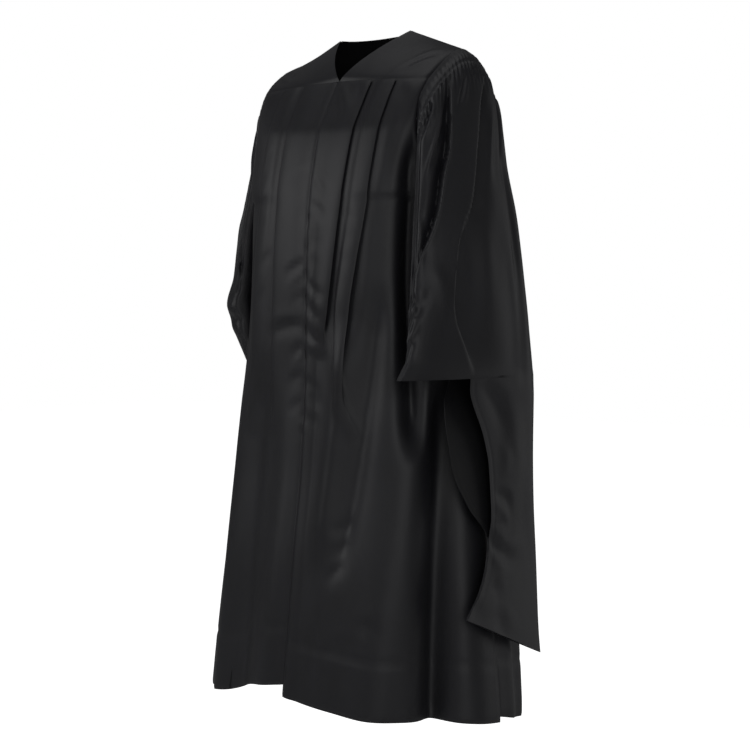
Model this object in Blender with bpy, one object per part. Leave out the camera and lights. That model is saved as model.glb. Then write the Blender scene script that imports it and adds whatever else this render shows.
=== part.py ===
"""Master's graduation gown, as worn with no wearer in it.

Metres, +Z up. The gown faces -Y and the wearer's left is +X. The origin lies midway
between the two neck points of the yoke, where the shoulders carry the gown.
Every piece is a wall of cloth, laid out from heights, widths and folds in the tables below.
"""
import math

import bpy
import numpy as np

WALL = 0.0016
SEAM_GAP = 0.0003
SIDE_GAP = 0.0006
ARMHOLE_GAP = 0.0005
BODY_CLEARANCE = 0.005
SATIN = (0.012, 0.012, 0.014, 1.0)
SATIN_ROUGHNESS = 0.42
SHARP_EDGE_DEGREES = 60

# The wearer's right shoulder hangs a little lower than the left one.
LEAN = 0.011
LEAN_WIDTH = 0.150
LEAN_FROM_Z = -0.110
LEAN_FULL_Z = -0.035

# Yoke and neck. The neck curve bends the V's edge in x, y and z, and the nape is round.
NECK_POINT = (0.072, 0.0, 0.0)
NECK_CURVE = (0.92, 1.35, 0.86)
NAPE = (0.0, 0.068, 0.004)
NAPE_ROUND = 0.6
YOKE_SEAM_Z = -0.087
YOKE_SEAM_FALL = 0.004
YOKE_SEAM_FALL_RUN = 0.06
YOKE_ROWS = 10
YOKE_COLUMNS = 9
BACK_YOKE_ROWS = 7
BACK_YOKE_COLUMNS = 23
BACK_YOKE_SEAM_Z = -0.130
UNDERARM_Z = -0.280
HEM_Z = -1.090
HEM_UNEVEN_FROM_Z = -0.600

# The armhole seen along X: the angle goes from the front level (0) over the shoulder tip (90)
# and down the back (180) to the underarm (270).
ARMHOLE_MID_Z = -0.159
ARMHOLE_HALF_HEIGHT = 0.121
ARMHOLE_COLUMNS = ("angle", "x", "y")
ARMHOLE = (
    (-90, 0.187, -0.010),
    (-60, 0.180, -0.060),
    (-30, 0.168, -0.094),
    (0, 0.160, -0.106),
    (15, 0.160, -0.101),
    (30, 0.163, -0.085),
    (45, 0.1675, -0.061),
    (60, 0.171, -0.038),
    (90, 0.175, 0.000),
    (120, 0.172, 0.043),
    (150, 0.166, 0.080),
    (180, 0.163, 0.100),
    (210, 0.168, 0.090),
    (240, 0.180, 0.052),
    (270, 0.187, -0.010),
)

# The body at each height: half width at the side seam, the centre front, the centre back,
# the side seam, and how square the section is (0.55 is an ellipse).
BODY_COLUMNS = ("z", "half_width", "front_y", "back_y", "side_y", "square")
BODY = (
    (-0.087, 0.165, -0.096, 0.102, -0.010, 0.60),
    (-0.130, 0.165, -0.122, 0.118, -0.010, 0.62),
    (-0.175, 0.168, -0.145, 0.128, -0.010, 0.66),
    (-0.210, 0.172, -0.156, 0.134, -0.010, 0.70),
    (-0.280, 0.187, -0.170, 0.145, -0.010, 0.75),
    (-0.400, 0.182, -0.178, 0.152, -0.014, 0.78),
    (-0.550, 0.200, -0.181, 0.155, -0.016, 0.74),
    (-0.690, 0.222, -0.191, 0.160, -0.018, 0.70),
    (-0.860, 0.245, -0.215, 0.160, -0.022, 0.64),
    (-1.090, 0.270, -0.243, 0.160, -0.030, 0.58),
)

# How far the hem lies above or below HEM_Z, by share of the way round each panel.
HEM_COLUMNS = ("share", "front_left", "front_right", "back")
HEM = (
    (0.00, 0.027, 0.046, -0.015),
    (0.20, 0.014, 0.036, -0.025),
    (0.40, 0.006, 0.014, -0.029),
    (0.60, 0.002, 0.006, -0.029),
    (0.80, -0.004, 0.000, -0.022),
    (1.00, -0.015, -0.006, -0.006),
)

# Knife pleats, their fold edges facing the armholes: the distance of the fold edge from the
# centre front, how far the pleat is closed (1 is pressed, 0 has opened out), its overlap, its
# lift, and how far it spreads once open.
PLEAT_COLUMNS = ("z", "place", "closed", "overlap", "lift", "spread")
LEFT_PLEATS = (
    (
        (-0.087, 0.064, 1.0, 0.014, 0.0037, 1.0),
        (-0.250, 0.058, 1.0, 0.014, 0.0045, 1.0),
        (-0.374, 0.048, 1.0, 0.014, 0.0060, 1.0),
        (-0.450, 0.040, 0.9, 0.012, 0.0070, 1.0),
        (-0.530, 0.032, 0.0, 0.010, 0.0050, 1.0),
        (-0.610, 0.032, 0.0, 0.010, 0.0040, 1.0),
        (-0.700, 0.036, 0.0, 0.010, 0.0040, 1.4),
        (-1.120, 0.050, 0.0, 0.010, 0.0040, 2.4),
    ),
    (
        (-0.087, 0.110, 1.0, 0.014, 0.0037, 1.0),
        (-0.284, 0.101, 1.0, 0.014, 0.0045, 1.0),
        (-0.384, 0.088, 1.0, 0.014, 0.0065, 1.0),
        (-0.450, 0.079, 1.0, 0.014, 0.0080, 1.0),
        (-0.510, 0.075, 0.9, 0.013, 0.0080, 1.0),
        (-0.590, 0.076, 0.3, 0.012, 0.0070, 1.0),
        (-0.660, 0.096, 0.0, 0.010, 0.0040, 1.2),
        (-1.120, 0.160, 0.0, 0.010, 0.0040, 2.4),
    ),
)
RIGHT_PLEATS = (
    (
        (-0.087, 0.064, 1.0, 0.014, 0.0037, 1.0),
        (-0.400, 0.068, 1.0, 0.013, 0.0042, 1.0),
        (-0.560, 0.071, 0.8, 0.012, 0.0045, 1.0),
        (-0.660, 0.073, 0.0, 0.010, 0.0040, 1.0),
        (-1.120, 0.085, 0.0, 0.010, 0.0040, 2.4),
    ),
    (
        (-0.087, 0.108, 1.0, 0.014, 0.0037, 1.0),
        (-0.250, 0.110, 1.0, 0.014, 0.0042, 1.0),
        (-0.420, 0.126, 1.0, 0.013, 0.0045, 1.0),
        (-0.560, 0.132, 0.7, 0.012, 0.0045, 1.0),
        (-0.660, 0.138, 0.0, 0.010, 0.0040, 1.0),
        (-1.120, 0.170, 0.0, 0.010, 0.0040, 2.4),
    ),
)

# Soft folds of the fronts: ridges are positive, valleys negative. Each runs from the first
# height to the last, its place and height changing evenly, and dies out over its own fade.
FOLD_COLUMNS = ("z_from", "z_to", "place_from", "place_to", "width", "height_from", "height_to",
                "fade")
LEFT_FOLDS = (
    (-0.46, -0.88, 0.078, 0.040, 0.020, 0.013, 0.006, 0.10),
    (-0.40, -0.90, 0.132, 0.084, 0.017, -0.011, -0.008, 0.10),
    (-0.52, -1.20, 0.175, 0.150, 0.045, 0.006, 0.020, 0.12),
    (-0.16, -0.70, 0.172, 0.190, 0.018, -0.018, -0.030, 0.09),
    (-0.50, -1.20, 0.235, 0.262, 0.026, -0.014, -0.046, 0.14),
    (-0.60, -1.20, 0.300, 0.335, 0.035, 0.002, 0.012, 0.10),
)
RIGHT_FOLDS = (
    (-0.55, -1.20, 0.030, 0.045, 0.022, 0.002, 0.010, 0.12),
    (-0.50, -1.20, 0.100, 0.120, 0.026, -0.004, -0.014, 0.12),
    (-0.50, -1.20, 0.160, 0.180, 0.026, 0.004, 0.012, 0.12),
    (-0.86, -1.20, 0.205, 0.214, 0.010, -0.006, -0.020, 0.08),
    (-0.50, -1.20, 0.230, 0.262, 0.020, 0.002, 0.004, 0.12),
    (-0.55, -1.20, 0.280, 0.312, 0.026, -0.006, -0.024, 0.12),
)
FRONT_ROWS = (YOKE_SEAM_Z, -0.110, -0.145, -0.185, -0.230, -0.262, UNDERARM_Z, -0.325, -0.385,
              -0.435, -0.490, -0.550, -0.630, -0.730, -0.850, -0.970, HEM_Z)
# The nine points across a pleat. Pressed, each lies so many overlaps and metres from the fold
# edge and so many lifts out; opened out, at a share of PLEAT_OPEN_WIDTH.
PLEAT_POINT_COLUMNS = ("overlaps", "past", "lifts", "opened")
PLEAT_POINTS = (
    (-1.25, 0.0, 1.90, -0.45),
    (-0.30, 0.0, 2.00, -0.25),
    (0.0, 0.004, 1.50, 0.0),
    (-0.30, 0.0, 1.05, 0.15),
    (-0.90, 0.0, 1.00, 0.30),
    (-1.15, 0.0, 0.55, 0.45),
    (-0.95, 0.0, 0.12, 0.62),
    (-0.40, 0.0, 0.0, 0.80),
    (0.0, 0.010, 0.0, 1.0),
)
PLEAT_OPEN_WIDTH = 0.026
FOLD_TAPER = 0.03
LINE_NEAR = 0.0015
LINE_STEPS = 80
CENTRE_COLUMNS = 4
BETWEEN_COLUMNS = 2
SIDE_COLUMNS = 13
LEFT_EDGE = -0.003
RIGHT_EDGE = -0.012
FLY_LIFT = 0.0029
FLY_WIDTH = 0.010

# Back gathers: how many flutes hang from the back yoke, their depth at the seam and the hem.
BACK_FLUTES = 11
FLUTE_COLUMNS = 5
FLUTE_DEPTH_TOP = 0.0035
FLUTE_DEPTH_HEM = 0.017
FLUTE_FULL_Z = -0.900
FLUTE_CALM_SHARE = 0.35
FLUTE_CALM_DROP = 0.012
FLUTE_UNEVEN = (1.0, 0.7, 1.15, 0.85, 1.2, 0.9, 1.1, 0.75, 1.2, 0.8, 1.0)
BACK_ROWS = (BACK_YOKE_SEAM_Z - SEAM_GAP, -0.150, -0.185, -0.230, -0.262, UNDERARM_Z, -0.350,
             -0.450, -0.570, -0.700, -0.840, -0.970, HEM_Z)

# Sleeves: level sections as a flat tilted ring from its front edge to its back edge, with
# half the depth on the outer and on the inner side. Measured with +X away from the body.
RING_COLUMNS = ("z", "front_x", "front_y", "back_x", "back_y", "outer", "inner")
LEFT_RINGS = (
    (-0.038, 0.176, -0.100, 0.204, 0.058, 0.036, 0.030),
    (-0.120, 0.178, -0.118, 0.214, 0.058, 0.040, 0.026),
    (-0.213, 0.181, -0.133, 0.222, 0.056, 0.043, 0.020),
    (-0.300, 0.188, -0.150, 0.236, 0.058, 0.040, 0.022),
    (-0.400, 0.196, -0.168, 0.249, 0.062, 0.036, 0.026),
    (-0.470, 0.200, -0.180, 0.256, 0.067, 0.033, 0.024),
    (-0.525, 0.202, -0.190, 0.260, 0.071, 0.030, 0.022),
    (-0.560, 0.202, -0.214, 0.262, 0.074, 0.028, 0.020),
)
RIGHT_RINGS = (
    (-0.038, 0.176, -0.080, 0.196, 0.070, 0.024, 0.028),
    (-0.120, 0.178, -0.084, 0.210, 0.078, 0.028, 0.026),
    (-0.213, 0.184, -0.090, 0.226, 0.088, 0.034, 0.022),
    (-0.300, 0.200, -0.088, 0.246, 0.102, 0.036, 0.026),
    (-0.400, 0.226, -0.076, 0.268, 0.122, 0.044, 0.034),
    (-0.450, 0.244, -0.066, 0.280, 0.136, 0.054, 0.040),
    (-0.500, 0.238, -0.058, 0.276, 0.150, 0.047, 0.032),
    (-0.560, 0.226, -0.046, 0.270, 0.164, 0.031, 0.020),
)
# The tail: the mid surface, half the depth, and the front edge of its outer and inner layer.
TAIL_COLUMNS = ("z", "mid_front_x", "mid_back_x", "outer", "inner", "edge_outer", "edge_inner",
                "back_y")
TAIL = (
    (-0.560, 0.226, 0.262, 0.026, 0.018, -0.100, -0.100, 0.074),
    (-0.600, 0.234, 0.262, 0.020, 0.014, -0.086, -0.116, 0.074),
    (-0.650, 0.243, 0.262, 0.016, 0.010, -0.064, -0.126, 0.074),
    (-0.700, 0.250, 0.263, 0.013, 0.008, -0.054, -0.124, 0.073),
    (-0.757, 0.258, 0.265, 0.009, 0.006, -0.054, -0.098, 0.073),
    (-0.809, 0.264, 0.268, 0.006, 0.005, -0.058, -0.058, 0.073),
    (-0.850, 0.269, 0.271, 0.005, 0.005, -0.070, -0.070, 0.074),
    (-0.889, 0.274, 0.274, 0.005, 0.005, -0.096, -0.096, 0.075),
    (-0.926, 0.279, 0.277, 0.005, 0.005, -0.139, -0.139, 0.078),
)
LEFT_TAIL_SHIFT = (0.0, 0.0)
RIGHT_TAIL_SHIFT = (-0.006, 0.090)
TAIL_BACK_DROP = 0.084
RING_STEP = 7.5
FRONT_ZONE = 82.5
HEAD_END_Z = -0.330
HEAD_SHARES = (0.0, 0.035, 0.10, 0.20, 0.35, 0.55, 0.78, 1.0)
HEAD_PUFF = 0.020
HEAD_PUFF_SHARE = 0.5
HEAD_CLEAR_SHARE = 0.07
ARM_ROWS = (-0.400, -0.450, -0.510, -0.560)
TAIL_ROWS = tuple(row[0] for row in TAIL[1:])
TAIL_JOIN_Z = -0.809
TAIL_TIP_SHUT = 0.45
TAIL_TIP_SHARE = 0.25
TAIL_ROUND = 4

# Flutes that fall from the gathered head: the angle of each valley round the sleeve, its
# depth and its width in degrees. They move less along Y than along X.
VALLEY_COLUMNS = ("angle", "depth", "width")
VALLEY_ALONG_Y = 0.5
LEFT_VALLEYS = (
    (9, 0.010, 7),
    (39, 0.018, 9),
    (77, 0.017, 10),
    (118, 0.012, 10),
    (152, 0.011, 9),
    (184, 0.009, 9),
    (218, 0.006, 9),
    (252, 0.004, 10),
    (292, 0.004, 10),
    (330, 0.006, 9),
)
RIGHT_VALLEYS = (
    (12, 0.009, 9),
    (44, 0.014, 9),
    (80, 0.015, 10),
    (112, 0.013, 9),
    (146, 0.012, 10),
    (180, 0.010, 9),
    (214, 0.006, 9),
    (250, 0.004, 10),
    (290, 0.004, 10),
    (328, 0.005, 9),
)
FLUTE_FADE_COLUMNS = ("drop", "amount")
FLUTE_FADE = ((0.0, 0.0), (0.03, 0.55), (0.09, 1.0), (0.28, 1.0), (0.45, 0.55), (0.60, 0.18),
              (1.10, 0.0))

# Zip tape behind the centre front
ZIP_BOTTOM_Z = -0.630
ZIP_HALF = 0.013
ZIP_BACK = 0.0023
ZIP_WALL = 0.0012


def read(table, columns, name, key):
    """Value of a named column at a key, on a smooth curve that never swings past its rows."""
    index = columns.index(name)
    keys = [row[0] for row in table]
    values = [row[index] for row in table]
    if keys[0] > keys[-1]:
        keys = keys[::-1]
        values = values[::-1]
    if key <= keys[0]:
        return values[0]
    if key >= keys[-1]:
        return values[-1]
    steps = [b - a for a, b in zip(keys, keys[1:])]
    slopes = [(b - a) / h for a, b, h in zip(values, values[1:], steps)]
    span = max(i for i, k in enumerate(keys[:-1]) if k <= key)

    def tangent(i):
        if i == 0 or i == len(keys) - 1:
            return slopes[0] if i == 0 else slopes[-1]
        if slopes[i - 1] * slopes[i] <= 0:
            return 0.0
        before = steps[i - 1]
        after = steps[i]
        return 3 * (before + after) / ((2 * after + before) / slopes[i - 1]
                                       + (after + 2 * before) / slopes[i])

    h = steps[span]
    t = (key - keys[span]) / h
    return ((1 + 2 * t) * (1 - t) ** 2 * values[span] + t * (1 - t) ** 2 * h * tangent(span)
            + t * t * (3 - 2 * t) * values[span + 1] + t * t * (t - 1) * h * tangent(span + 1))


def smooth_step(low, high, value):
    t = min(1.0, max(0.0, (value - low) / (high - low)))
    return t * t * (3 - 2 * t)


def mix(a, b, t):
    return a + (b - a) * t


def lean(x, y, z):
    """Lower the wearer's right shoulder, less and less towards the middle and the hips."""
    drop = LEAN * smooth_step(0, LEAN_WIDTH, -x) * smooth_step(LEAN_FROM_Z, LEAN_FULL_Z, z)
    return x, y, z - drop


def satin(name):
    material = bpy.data.materials.new(name)
    material.use_nodes = True
    shader = material.node_tree.nodes["Principled BSDF"]
    shader.inputs["Base Color"].default_value = SATIN
    shader.inputs["Roughness"].default_value = SATIN_ROUGHNESS
    shader.inputs["Metallic"].default_value = 0.0
    return material


def cloth(name, points, quads, flat_at, wall=WALL, tips=()):
    """Give an outer surface its thickness, inward along the points' normals, with closed rims.

    flat_at holds for a seam point the axis that its thickness stays square to, so that two
    pieces which meet at a seam end in the same plane. Tips are faces of three corners.
    """
    outer = np.array([lean(*point) for point in points])
    normals = np.zeros_like(outer)
    triangles = list(tips)
    for a, b, c, d in quads:
        face = np.cross(outer[c] - outer[a], outer[d] - outer[b])
        for corner in (a, b, c, d):
            normals[corner] += face
        if np.linalg.norm(outer[c] - outer[a]) < np.linalg.norm(outer[d] - outer[b]):
            triangles += [(a, b, c), (a, c, d)]
        else:
            triangles += [(a, b, d), (b, c, d)]
    for index, axis in flat_at.items():
        axis = np.array(axis, dtype=float)
        normals[index] -= normals[index].dot(axis) * axis
    normals /= np.linalg.norm(normals, axis=1)[:, None]
    inner = outer - wall * normals
    count = len(outer)
    faces = list(triangles)
    faces += [tuple(corner + count for corner in reversed(three)) for three in triangles]
    edges = {(three[i], three[(i + 1) % 3]) for three in triangles for i in range(3)}
    for a, b in sorted(edges):
        if (b, a) not in edges:
            faces.append((b, a, a + count, b + count))
    mesh = bpy.data.meshes.new(name)
    mesh.from_pydata(np.vstack((outer, inner)).tolist(), [], faces)
    mesh.materials.append(satin("satin_" + name))
    mesh.shade_smooth()
    mesh.set_sharp_from_angle(angle=math.radians(SHARP_EDGE_DEGREES))
    mesh.update()
    piece = bpy.data.objects.new(name, mesh)
    bpy.context.collection.objects.link(piece)
    return piece


def grid_quads(rows, columns, flip=False):
    quads = []
    for i in range(rows - 1):
        for j in range(columns - 1):
            a = i * columns + j
            quad = (a, a + columns, a + columns + 1, a + 1)
            quads.append(quad[::-1] if flip else quad)
    return quads


def armhole_angle(z):
    """Angle of the front armhole point at a height."""
    sine = (z - ARMHOLE_MID_Z) / ARMHOLE_HALF_HEIGHT
    return math.degrees(math.asin(min(1.0, max(-1.0, sine))))


def front_fall(row_z):
    """How far a front's row drops by its outer edge, all of it at the yoke seam."""
    return YOKE_SEAM_FALL * (1 - smooth_step(0.0, YOKE_SEAM_FALL_RUN, YOKE_SEAM_Z - row_z))


def hem_rise(name, row_z, share):
    """How far a panel's row lies above its level, growing towards the hem."""
    grown = smooth_step(HEM_UNEVEN_FROM_Z, HEM_Z, row_z)
    return read(HEM, HEM_COLUMNS, name, share) * grown


def armhole_knots():
    """Angles of every panel corner on the armhole, so that all pieces share its straight runs."""
    front_angle = armhole_angle(YOKE_SEAM_Z + SEAM_GAP - YOKE_SEAM_FALL)
    back_angle = 180 - armhole_angle(BACK_YOKE_SEAM_Z)
    knots = {-90.0, 270.0}
    knots |= {armhole_angle(z - front_fall(z)) for z in FRONT_ROWS if z > UNDERARM_Z}
    knots |= {180 - armhole_angle(z) for z in BACK_ROWS if z > UNDERARM_Z}
    knots |= {mix(front_angle, 90, i / (YOKE_ROWS - 1)) for i in range(YOKE_ROWS)}
    knots |= {mix(back_angle, 90, i / (BACK_YOKE_ROWS - 1)) for i in range(BACK_YOKE_ROWS)}
    knots = sorted(knots)
    x = [read(ARMHOLE, ARMHOLE_COLUMNS, "x", angle) for angle in knots]
    y = [read(ARMHOLE, ARMHOLE_COLUMNS, "y", angle) for angle in knots]
    z = [ARMHOLE_MID_Z + ARMHOLE_HALF_HEIGHT * math.sin(math.radians(angle)) for angle in knots]
    return knots, x, y, z


def armhole(angle):
    """A point of the armhole seam at an angle round it, on the wearer's left."""
    angle = (angle + 90) % 360 - 90
    knots, x, y, z = KNOTS
    return tuple(float(np.interp(angle, knots, values)) for values in (x, y, z))


KNOTS = armhole_knots()


def body_line(z, back):
    """A level line round a quarter of the body, from the centre to the side: x, y, length."""
    middle = read(BODY, BODY_COLUMNS, "back_y" if back else "front_y", z)
    square = read(BODY, BODY_COLUMNS, "square", z)
    if z > UNDERARM_Z:
        angle = armhole_angle(z)
        edge_x, edge_y, _ = armhole(180 - angle if back else angle)
    else:
        edge_x = read(BODY, BODY_COLUMNS, "half_width", z)
        edge_y = read(BODY, BODY_COLUMNS, "side_y", z)
    t = np.linspace(0, 1, LINE_STEPS + 1)
    x = 3 * (1 - t) ** 2 * t * square * edge_x + 3 * (1 - t) * t * t * edge_x + t ** 3 * edge_x
    y = ((1 - t) ** 3 * middle + 3 * (1 - t) ** 2 * t * middle
         + 3 * (1 - t) * t * t * mix(edge_y, middle, square) + t ** 3 * edge_y)
    length = np.concatenate(([0], np.cumsum(np.hypot(np.diff(x), np.diff(y)))))
    return x, y, length


def on_line(line, place, out):
    """The point at a distance along a level line, moved out by a height."""
    x, y, length = line
    middle = min(length[-1] - LINE_NEAR, max(LINE_NEAR, place))
    low = middle - LINE_NEAR
    high = middle + LINE_NEAR
    run_x = np.interp(high, length, x) - np.interp(low, length, x)
    run_y = np.interp(high, length, y) - np.interp(low, length, y)
    run = math.hypot(run_x, run_y)
    turn = 1.0 if y[-1] > y[0] else -1.0
    px = np.interp(place, length, x)
    py = np.interp(place, length, y)
    if place < 0:
        px = place
    return px + out * turn * run_y / run, py - out * turn * run_x / run


def fold_height(folds, place, z):
    total = 0.0
    for z_from, z_to, place_from, place_to, width, height_from, height_to, fade in folds:
        share = min(1.0, max(0.0, (z - z_from) / (z_to - z_from)))
        height = mix(height_from, height_to, share)
        height *= smooth_step(0, fade, z_from - z) * smooth_step(0, fade, z - z_to)
        centre = mix(place_from, place_to, share)
        total += height * math.exp(-((place - centre) / width) ** 2)
    return total


def pleat_stations(pleat, z):
    """Places and heights of one pleat's nine points, between pressed flat and opened out."""
    place, closed, overlap, lift, spread = (read(pleat, PLEAT_COLUMNS, name, z)
                                            for name in PLEAT_COLUMNS[1:])
    rise = math.sqrt(closed)
    stations = []
    for overlaps, past, lifts, share in PLEAT_POINTS:
        opened = share * PLEAT_OPEN_WIDTH * spread
        pressed = overlaps * overlap + past
        stations.append((place + mix(opened, pressed, closed), rise * lifts * lift))
    return stations


def front_row(z, length, pleats, edge, fly):
    """All points of one level of a front, from its centre edge to its outer edge."""
    first, second = (pleat_stations(pleat, z) for pleat in pleats)
    row = []
    for k in range(CENTRE_COLUMNS):
        place = mix(edge, first[0][0], k / CENTRE_COLUMNS)
        row.append((place, mix(fly, first[0][1], smooth_step(FLY_WIDTH, first[0][0], place))))
    row += first
    for k in range(1, BETWEEN_COLUMNS + 1):
        share = k / (BETWEEN_COLUMNS + 1)
        place = mix(first[-1][0], second[0][0], share)
        row.append((place, second[0][1] * smooth_step(0, 1, share)))
    row += second
    for k in range(1, SIDE_COLUMNS + 1):
        row.append((mix(second[-1][0], length, k / SIDE_COLUMNS), 0.0))
    return row


def front(name, side, pleats, folds, edge, fly):
    """A front panel from the yoke seam to the hem; side is 1 on the wearer's left."""
    points = []
    flat_at = {}
    for i, row_z in enumerate(FRONT_ROWS):
        length = body_line(row_z, False)[2][-1]
        stations = front_row(row_z, length, pleats, edge, fly)
        for j, (place, out) in enumerate(stations):
            share = min(1.0, abs(place) / length)
            z = row_z - front_fall(row_z) * share + hem_rise(name, row_z, share)
            line = body_line(z, False)
            at_edge = j == len(stations) - 1
            at = place * line[2][-1] / length if place > 0 else place
            if at_edge:
                at = line[2][-1]
            taper = smooth_step(0.0, FOLD_TAPER, YOKE_SEAM_Z - z)
            height = 0.0 if at_edge else out + taper * fold_height(folds, place, z)
            x, y = on_line(line, at, height)
            if at_edge:
                y -= SIDE_GAP / 2
            if i == 0:
                flat_at[len(points)] = (0, 0, 1)
            elif at_edge:
                flat_at[len(points)] = (1, 0, 0) if row_z > UNDERARM_Z else (0, 1, 0)
            points.append((side * x, y, z))
    return cloth(name, points, grid_quads(len(FRONT_ROWS), len(stations), side < 0), flat_at)


def back():
    """The back panel, gathered under its yoke, from the left side seam round to the right."""
    half = BACK_FLUTES * FLUTE_COLUMNS / 2
    count = BACK_FLUTES * FLUTE_COLUMNS + 1
    points = []
    flat_at = {}
    for i, row_z in enumerate(BACK_ROWS):
        for j in range(count):
            across = (half - j) / half
            share = abs(across)
            z = row_z + hem_rise("back", row_z, share)
            line = body_line(z, True)
            phase = j / FLUTE_COLUMNS
            grown = smooth_step(BACK_YOKE_SEAM_Z, FLUTE_FULL_Z, z)
            depth = mix(FLUTE_DEPTH_TOP, FLUTE_DEPTH_HEM, grown)
            depth *= FLUTE_UNEVEN[min(BACK_FLUTES - 1, int(phase))]
            calm = smooth_step(0.0, FLUTE_CALM_SHARE, 1 - share)
            calm *= smooth_step(0.0, FLUTE_CALM_DROP, BACK_YOKE_SEAM_Z - row_z)
            height = depth * calm * (0.5 - 0.5 * math.cos(2 * math.pi * phase))
            x, y = on_line(line, share * line[2][-1], height)
            at_edge = j in (0, count - 1)
            if at_edge:
                y += SIDE_GAP / 2
            if i == 0:
                flat_at[len(points)] = (0, 0, 1)
            elif at_edge:
                flat_at[len(points)] = (1, 0, 0) if row_z > UNDERARM_Z else (0, 1, 0)
            points.append((math.copysign(x, across) if across else 0.0, y, z))
    return cloth("back", points, grid_quads(len(BACK_ROWS), count), flat_at)


def coons(bottom, top, left, right, u, v):
    """A point of the patch between four edges, each a function of its own share."""
    corners = (mix(np.array(bottom(0)), np.array(bottom(1)), u) * (1 - v)
               + mix(np.array(top(0)), np.array(top(1)), u) * v)
    between_rows = mix(np.array(bottom(u)), np.array(top(u)), v)
    between_sides = mix(np.array(left(v)), np.array(right(v)), u)
    return between_rows + between_sides - corners


def front_yoke(name, side):
    """A flat front yoke: yoke seam below, V neck, shoulder seam and armhole."""
    columns = YOKE_COLUMNS
    rows = YOKE_ROWS
    seam = YOKE_SEAM_Z + SEAM_GAP

    def bottom(u):
        z = seam - YOKE_SEAM_FALL * u
        line = body_line(z, False)
        x, y = on_line(line, u * line[2][-1], 0.0)
        return max(x, SEAM_GAP / 2), y, z

    def top(u):
        start = (NECK_POINT[0], -SEAM_GAP / 2, NECK_POINT[2])
        end = armhole(90)
        return tuple(mix(a, b, u) for a, b in zip(start, (end[0], -SEAM_GAP / 2, end[2])))

    def left(v):
        low = bottom(0)
        high = top(0)
        return tuple(mix(a, b, v ** power) for a, b, power in zip(low, high, NECK_CURVE))

    def right(v):
        start = armhole_angle(seam - YOKE_SEAM_FALL)
        x, y, z = armhole(mix(start, 90, v))
        return x, y - SEAM_GAP / 2, z

    points = []
    flat_at = {}
    for i in range(rows):
        v = 1 - i / (rows - 1)
        for j in range(columns):
            u = j / (columns - 1)
            x, y, z = coons(bottom, top, left, right, u, v)
            if i == rows - 1:
                flat_at[len(points)] = (0, 0, 1)
            elif i == 0:
                flat_at[len(points)] = (0, 1, 0)
            elif j == columns - 1:
                flat_at[len(points)] = (1, 0, 0)
            points.append((side * x, y, z))
    return cloth(name, points, grid_quads(rows, columns, side < 0), flat_at)


def back_yoke():
    """The back yoke, from the shoulder seams and the neck down to the gathers."""
    columns = BACK_YOKE_COLUMNS
    rows = BACK_YOKE_ROWS
    seam = BACK_YOKE_SEAM_Z
    neck_share = NECK_POINT[0] / armhole(90)[0]
    start = 180 - armhole_angle(seam)

    def bottom(u):
        across = 1 - 2 * u
        line = body_line(seam, True)
        x, y = on_line(line, abs(across) * line[2][-1], 0.0)
        return math.copysign(x, across) if across else 0.0, y, seam

    def top(u):
        across = 1 - 2 * u
        share = abs(across)
        tip = armhole(90)
        x = share * tip[0]
        if share >= neck_share:
            t = (share - neck_share) / (1 - neck_share)
            return math.copysign(x, across), SEAM_GAP / 2, mix(NECK_POINT[2], tip[2], t)
        t = share / neck_share
        y = SEAM_GAP / 2 + NAPE[1] * (1 - t * t) ** NAPE_ROUND
        return math.copysign(x, across), y, mix(NAPE[2], NECK_POINT[2], t)

    def side_edge(v, sign):
        x, y, z = armhole(mix(start, 90, v))
        return sign * x, y + SEAM_GAP / 2, z

    points = []
    flat_at = {}
    for i in range(rows):
        v = 1 - i / (rows - 1)
        for j in range(columns):
            u = j / (columns - 1)
            x, y, z = coons(bottom, top, lambda v: side_edge(v, 1), lambda v: side_edge(v, -1),
                            u, v)
            if i == rows - 1:
                flat_at[len(points)] = (0, 0, 1)
            elif i == 0 and abs(1 - 2 * u) >= neck_share:
                flat_at[len(points)] = (0, 1, 0)
            elif i > 0 and j in (0, columns - 1):
                flat_at[len(points)] = (1, 0, 0)
            points.append((x, y, z))
    return cloth("yoke_back", points, grid_quads(rows, columns), flat_at)


def ring_point(rings, angle, z):
    """A point of the sleeve's level ring at a height, by the angle from its front edge."""
    front_x, front_y, back_x, back_y, outer, inner = (read(rings, RING_COLUMNS, name, z)
                                                      for name in RING_COLUMNS[1:])
    turn = math.radians(angle)
    half = math.hypot(back_x - front_x, back_y - front_y) / 2
    along_x = (back_x - front_x) / (2 * half)
    along_y = (back_y - front_y) / (2 * half)
    along = -half * math.cos(turn)
    depth = (outer if math.sin(turn) > 0 else inner) * math.sin(turn)
    x = (front_x + back_x) / 2 + along * along_x + depth * along_y
    y = (front_y + back_y) / 2 + along * along_y - depth * along_x
    return x, y


def valley(valleys, angle):
    total = 0.0
    for at, depth, width in valleys:
        away = (angle - at + 180) % 360 - 180
        total -= depth * math.exp(-(away / width) ** 2)
    return total


def clear_of_body(x, y, z, clearance):
    """Keep a sleeve point off the body's side, measured along X."""
    line_x, line_y, _ = body_line(z, y > read(BODY, BODY_COLUMNS, "side_y", z))
    order = np.argsort(line_y)
    return max(x, float(np.interp(y, line_y[order], line_x[order])) + clearance)


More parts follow.
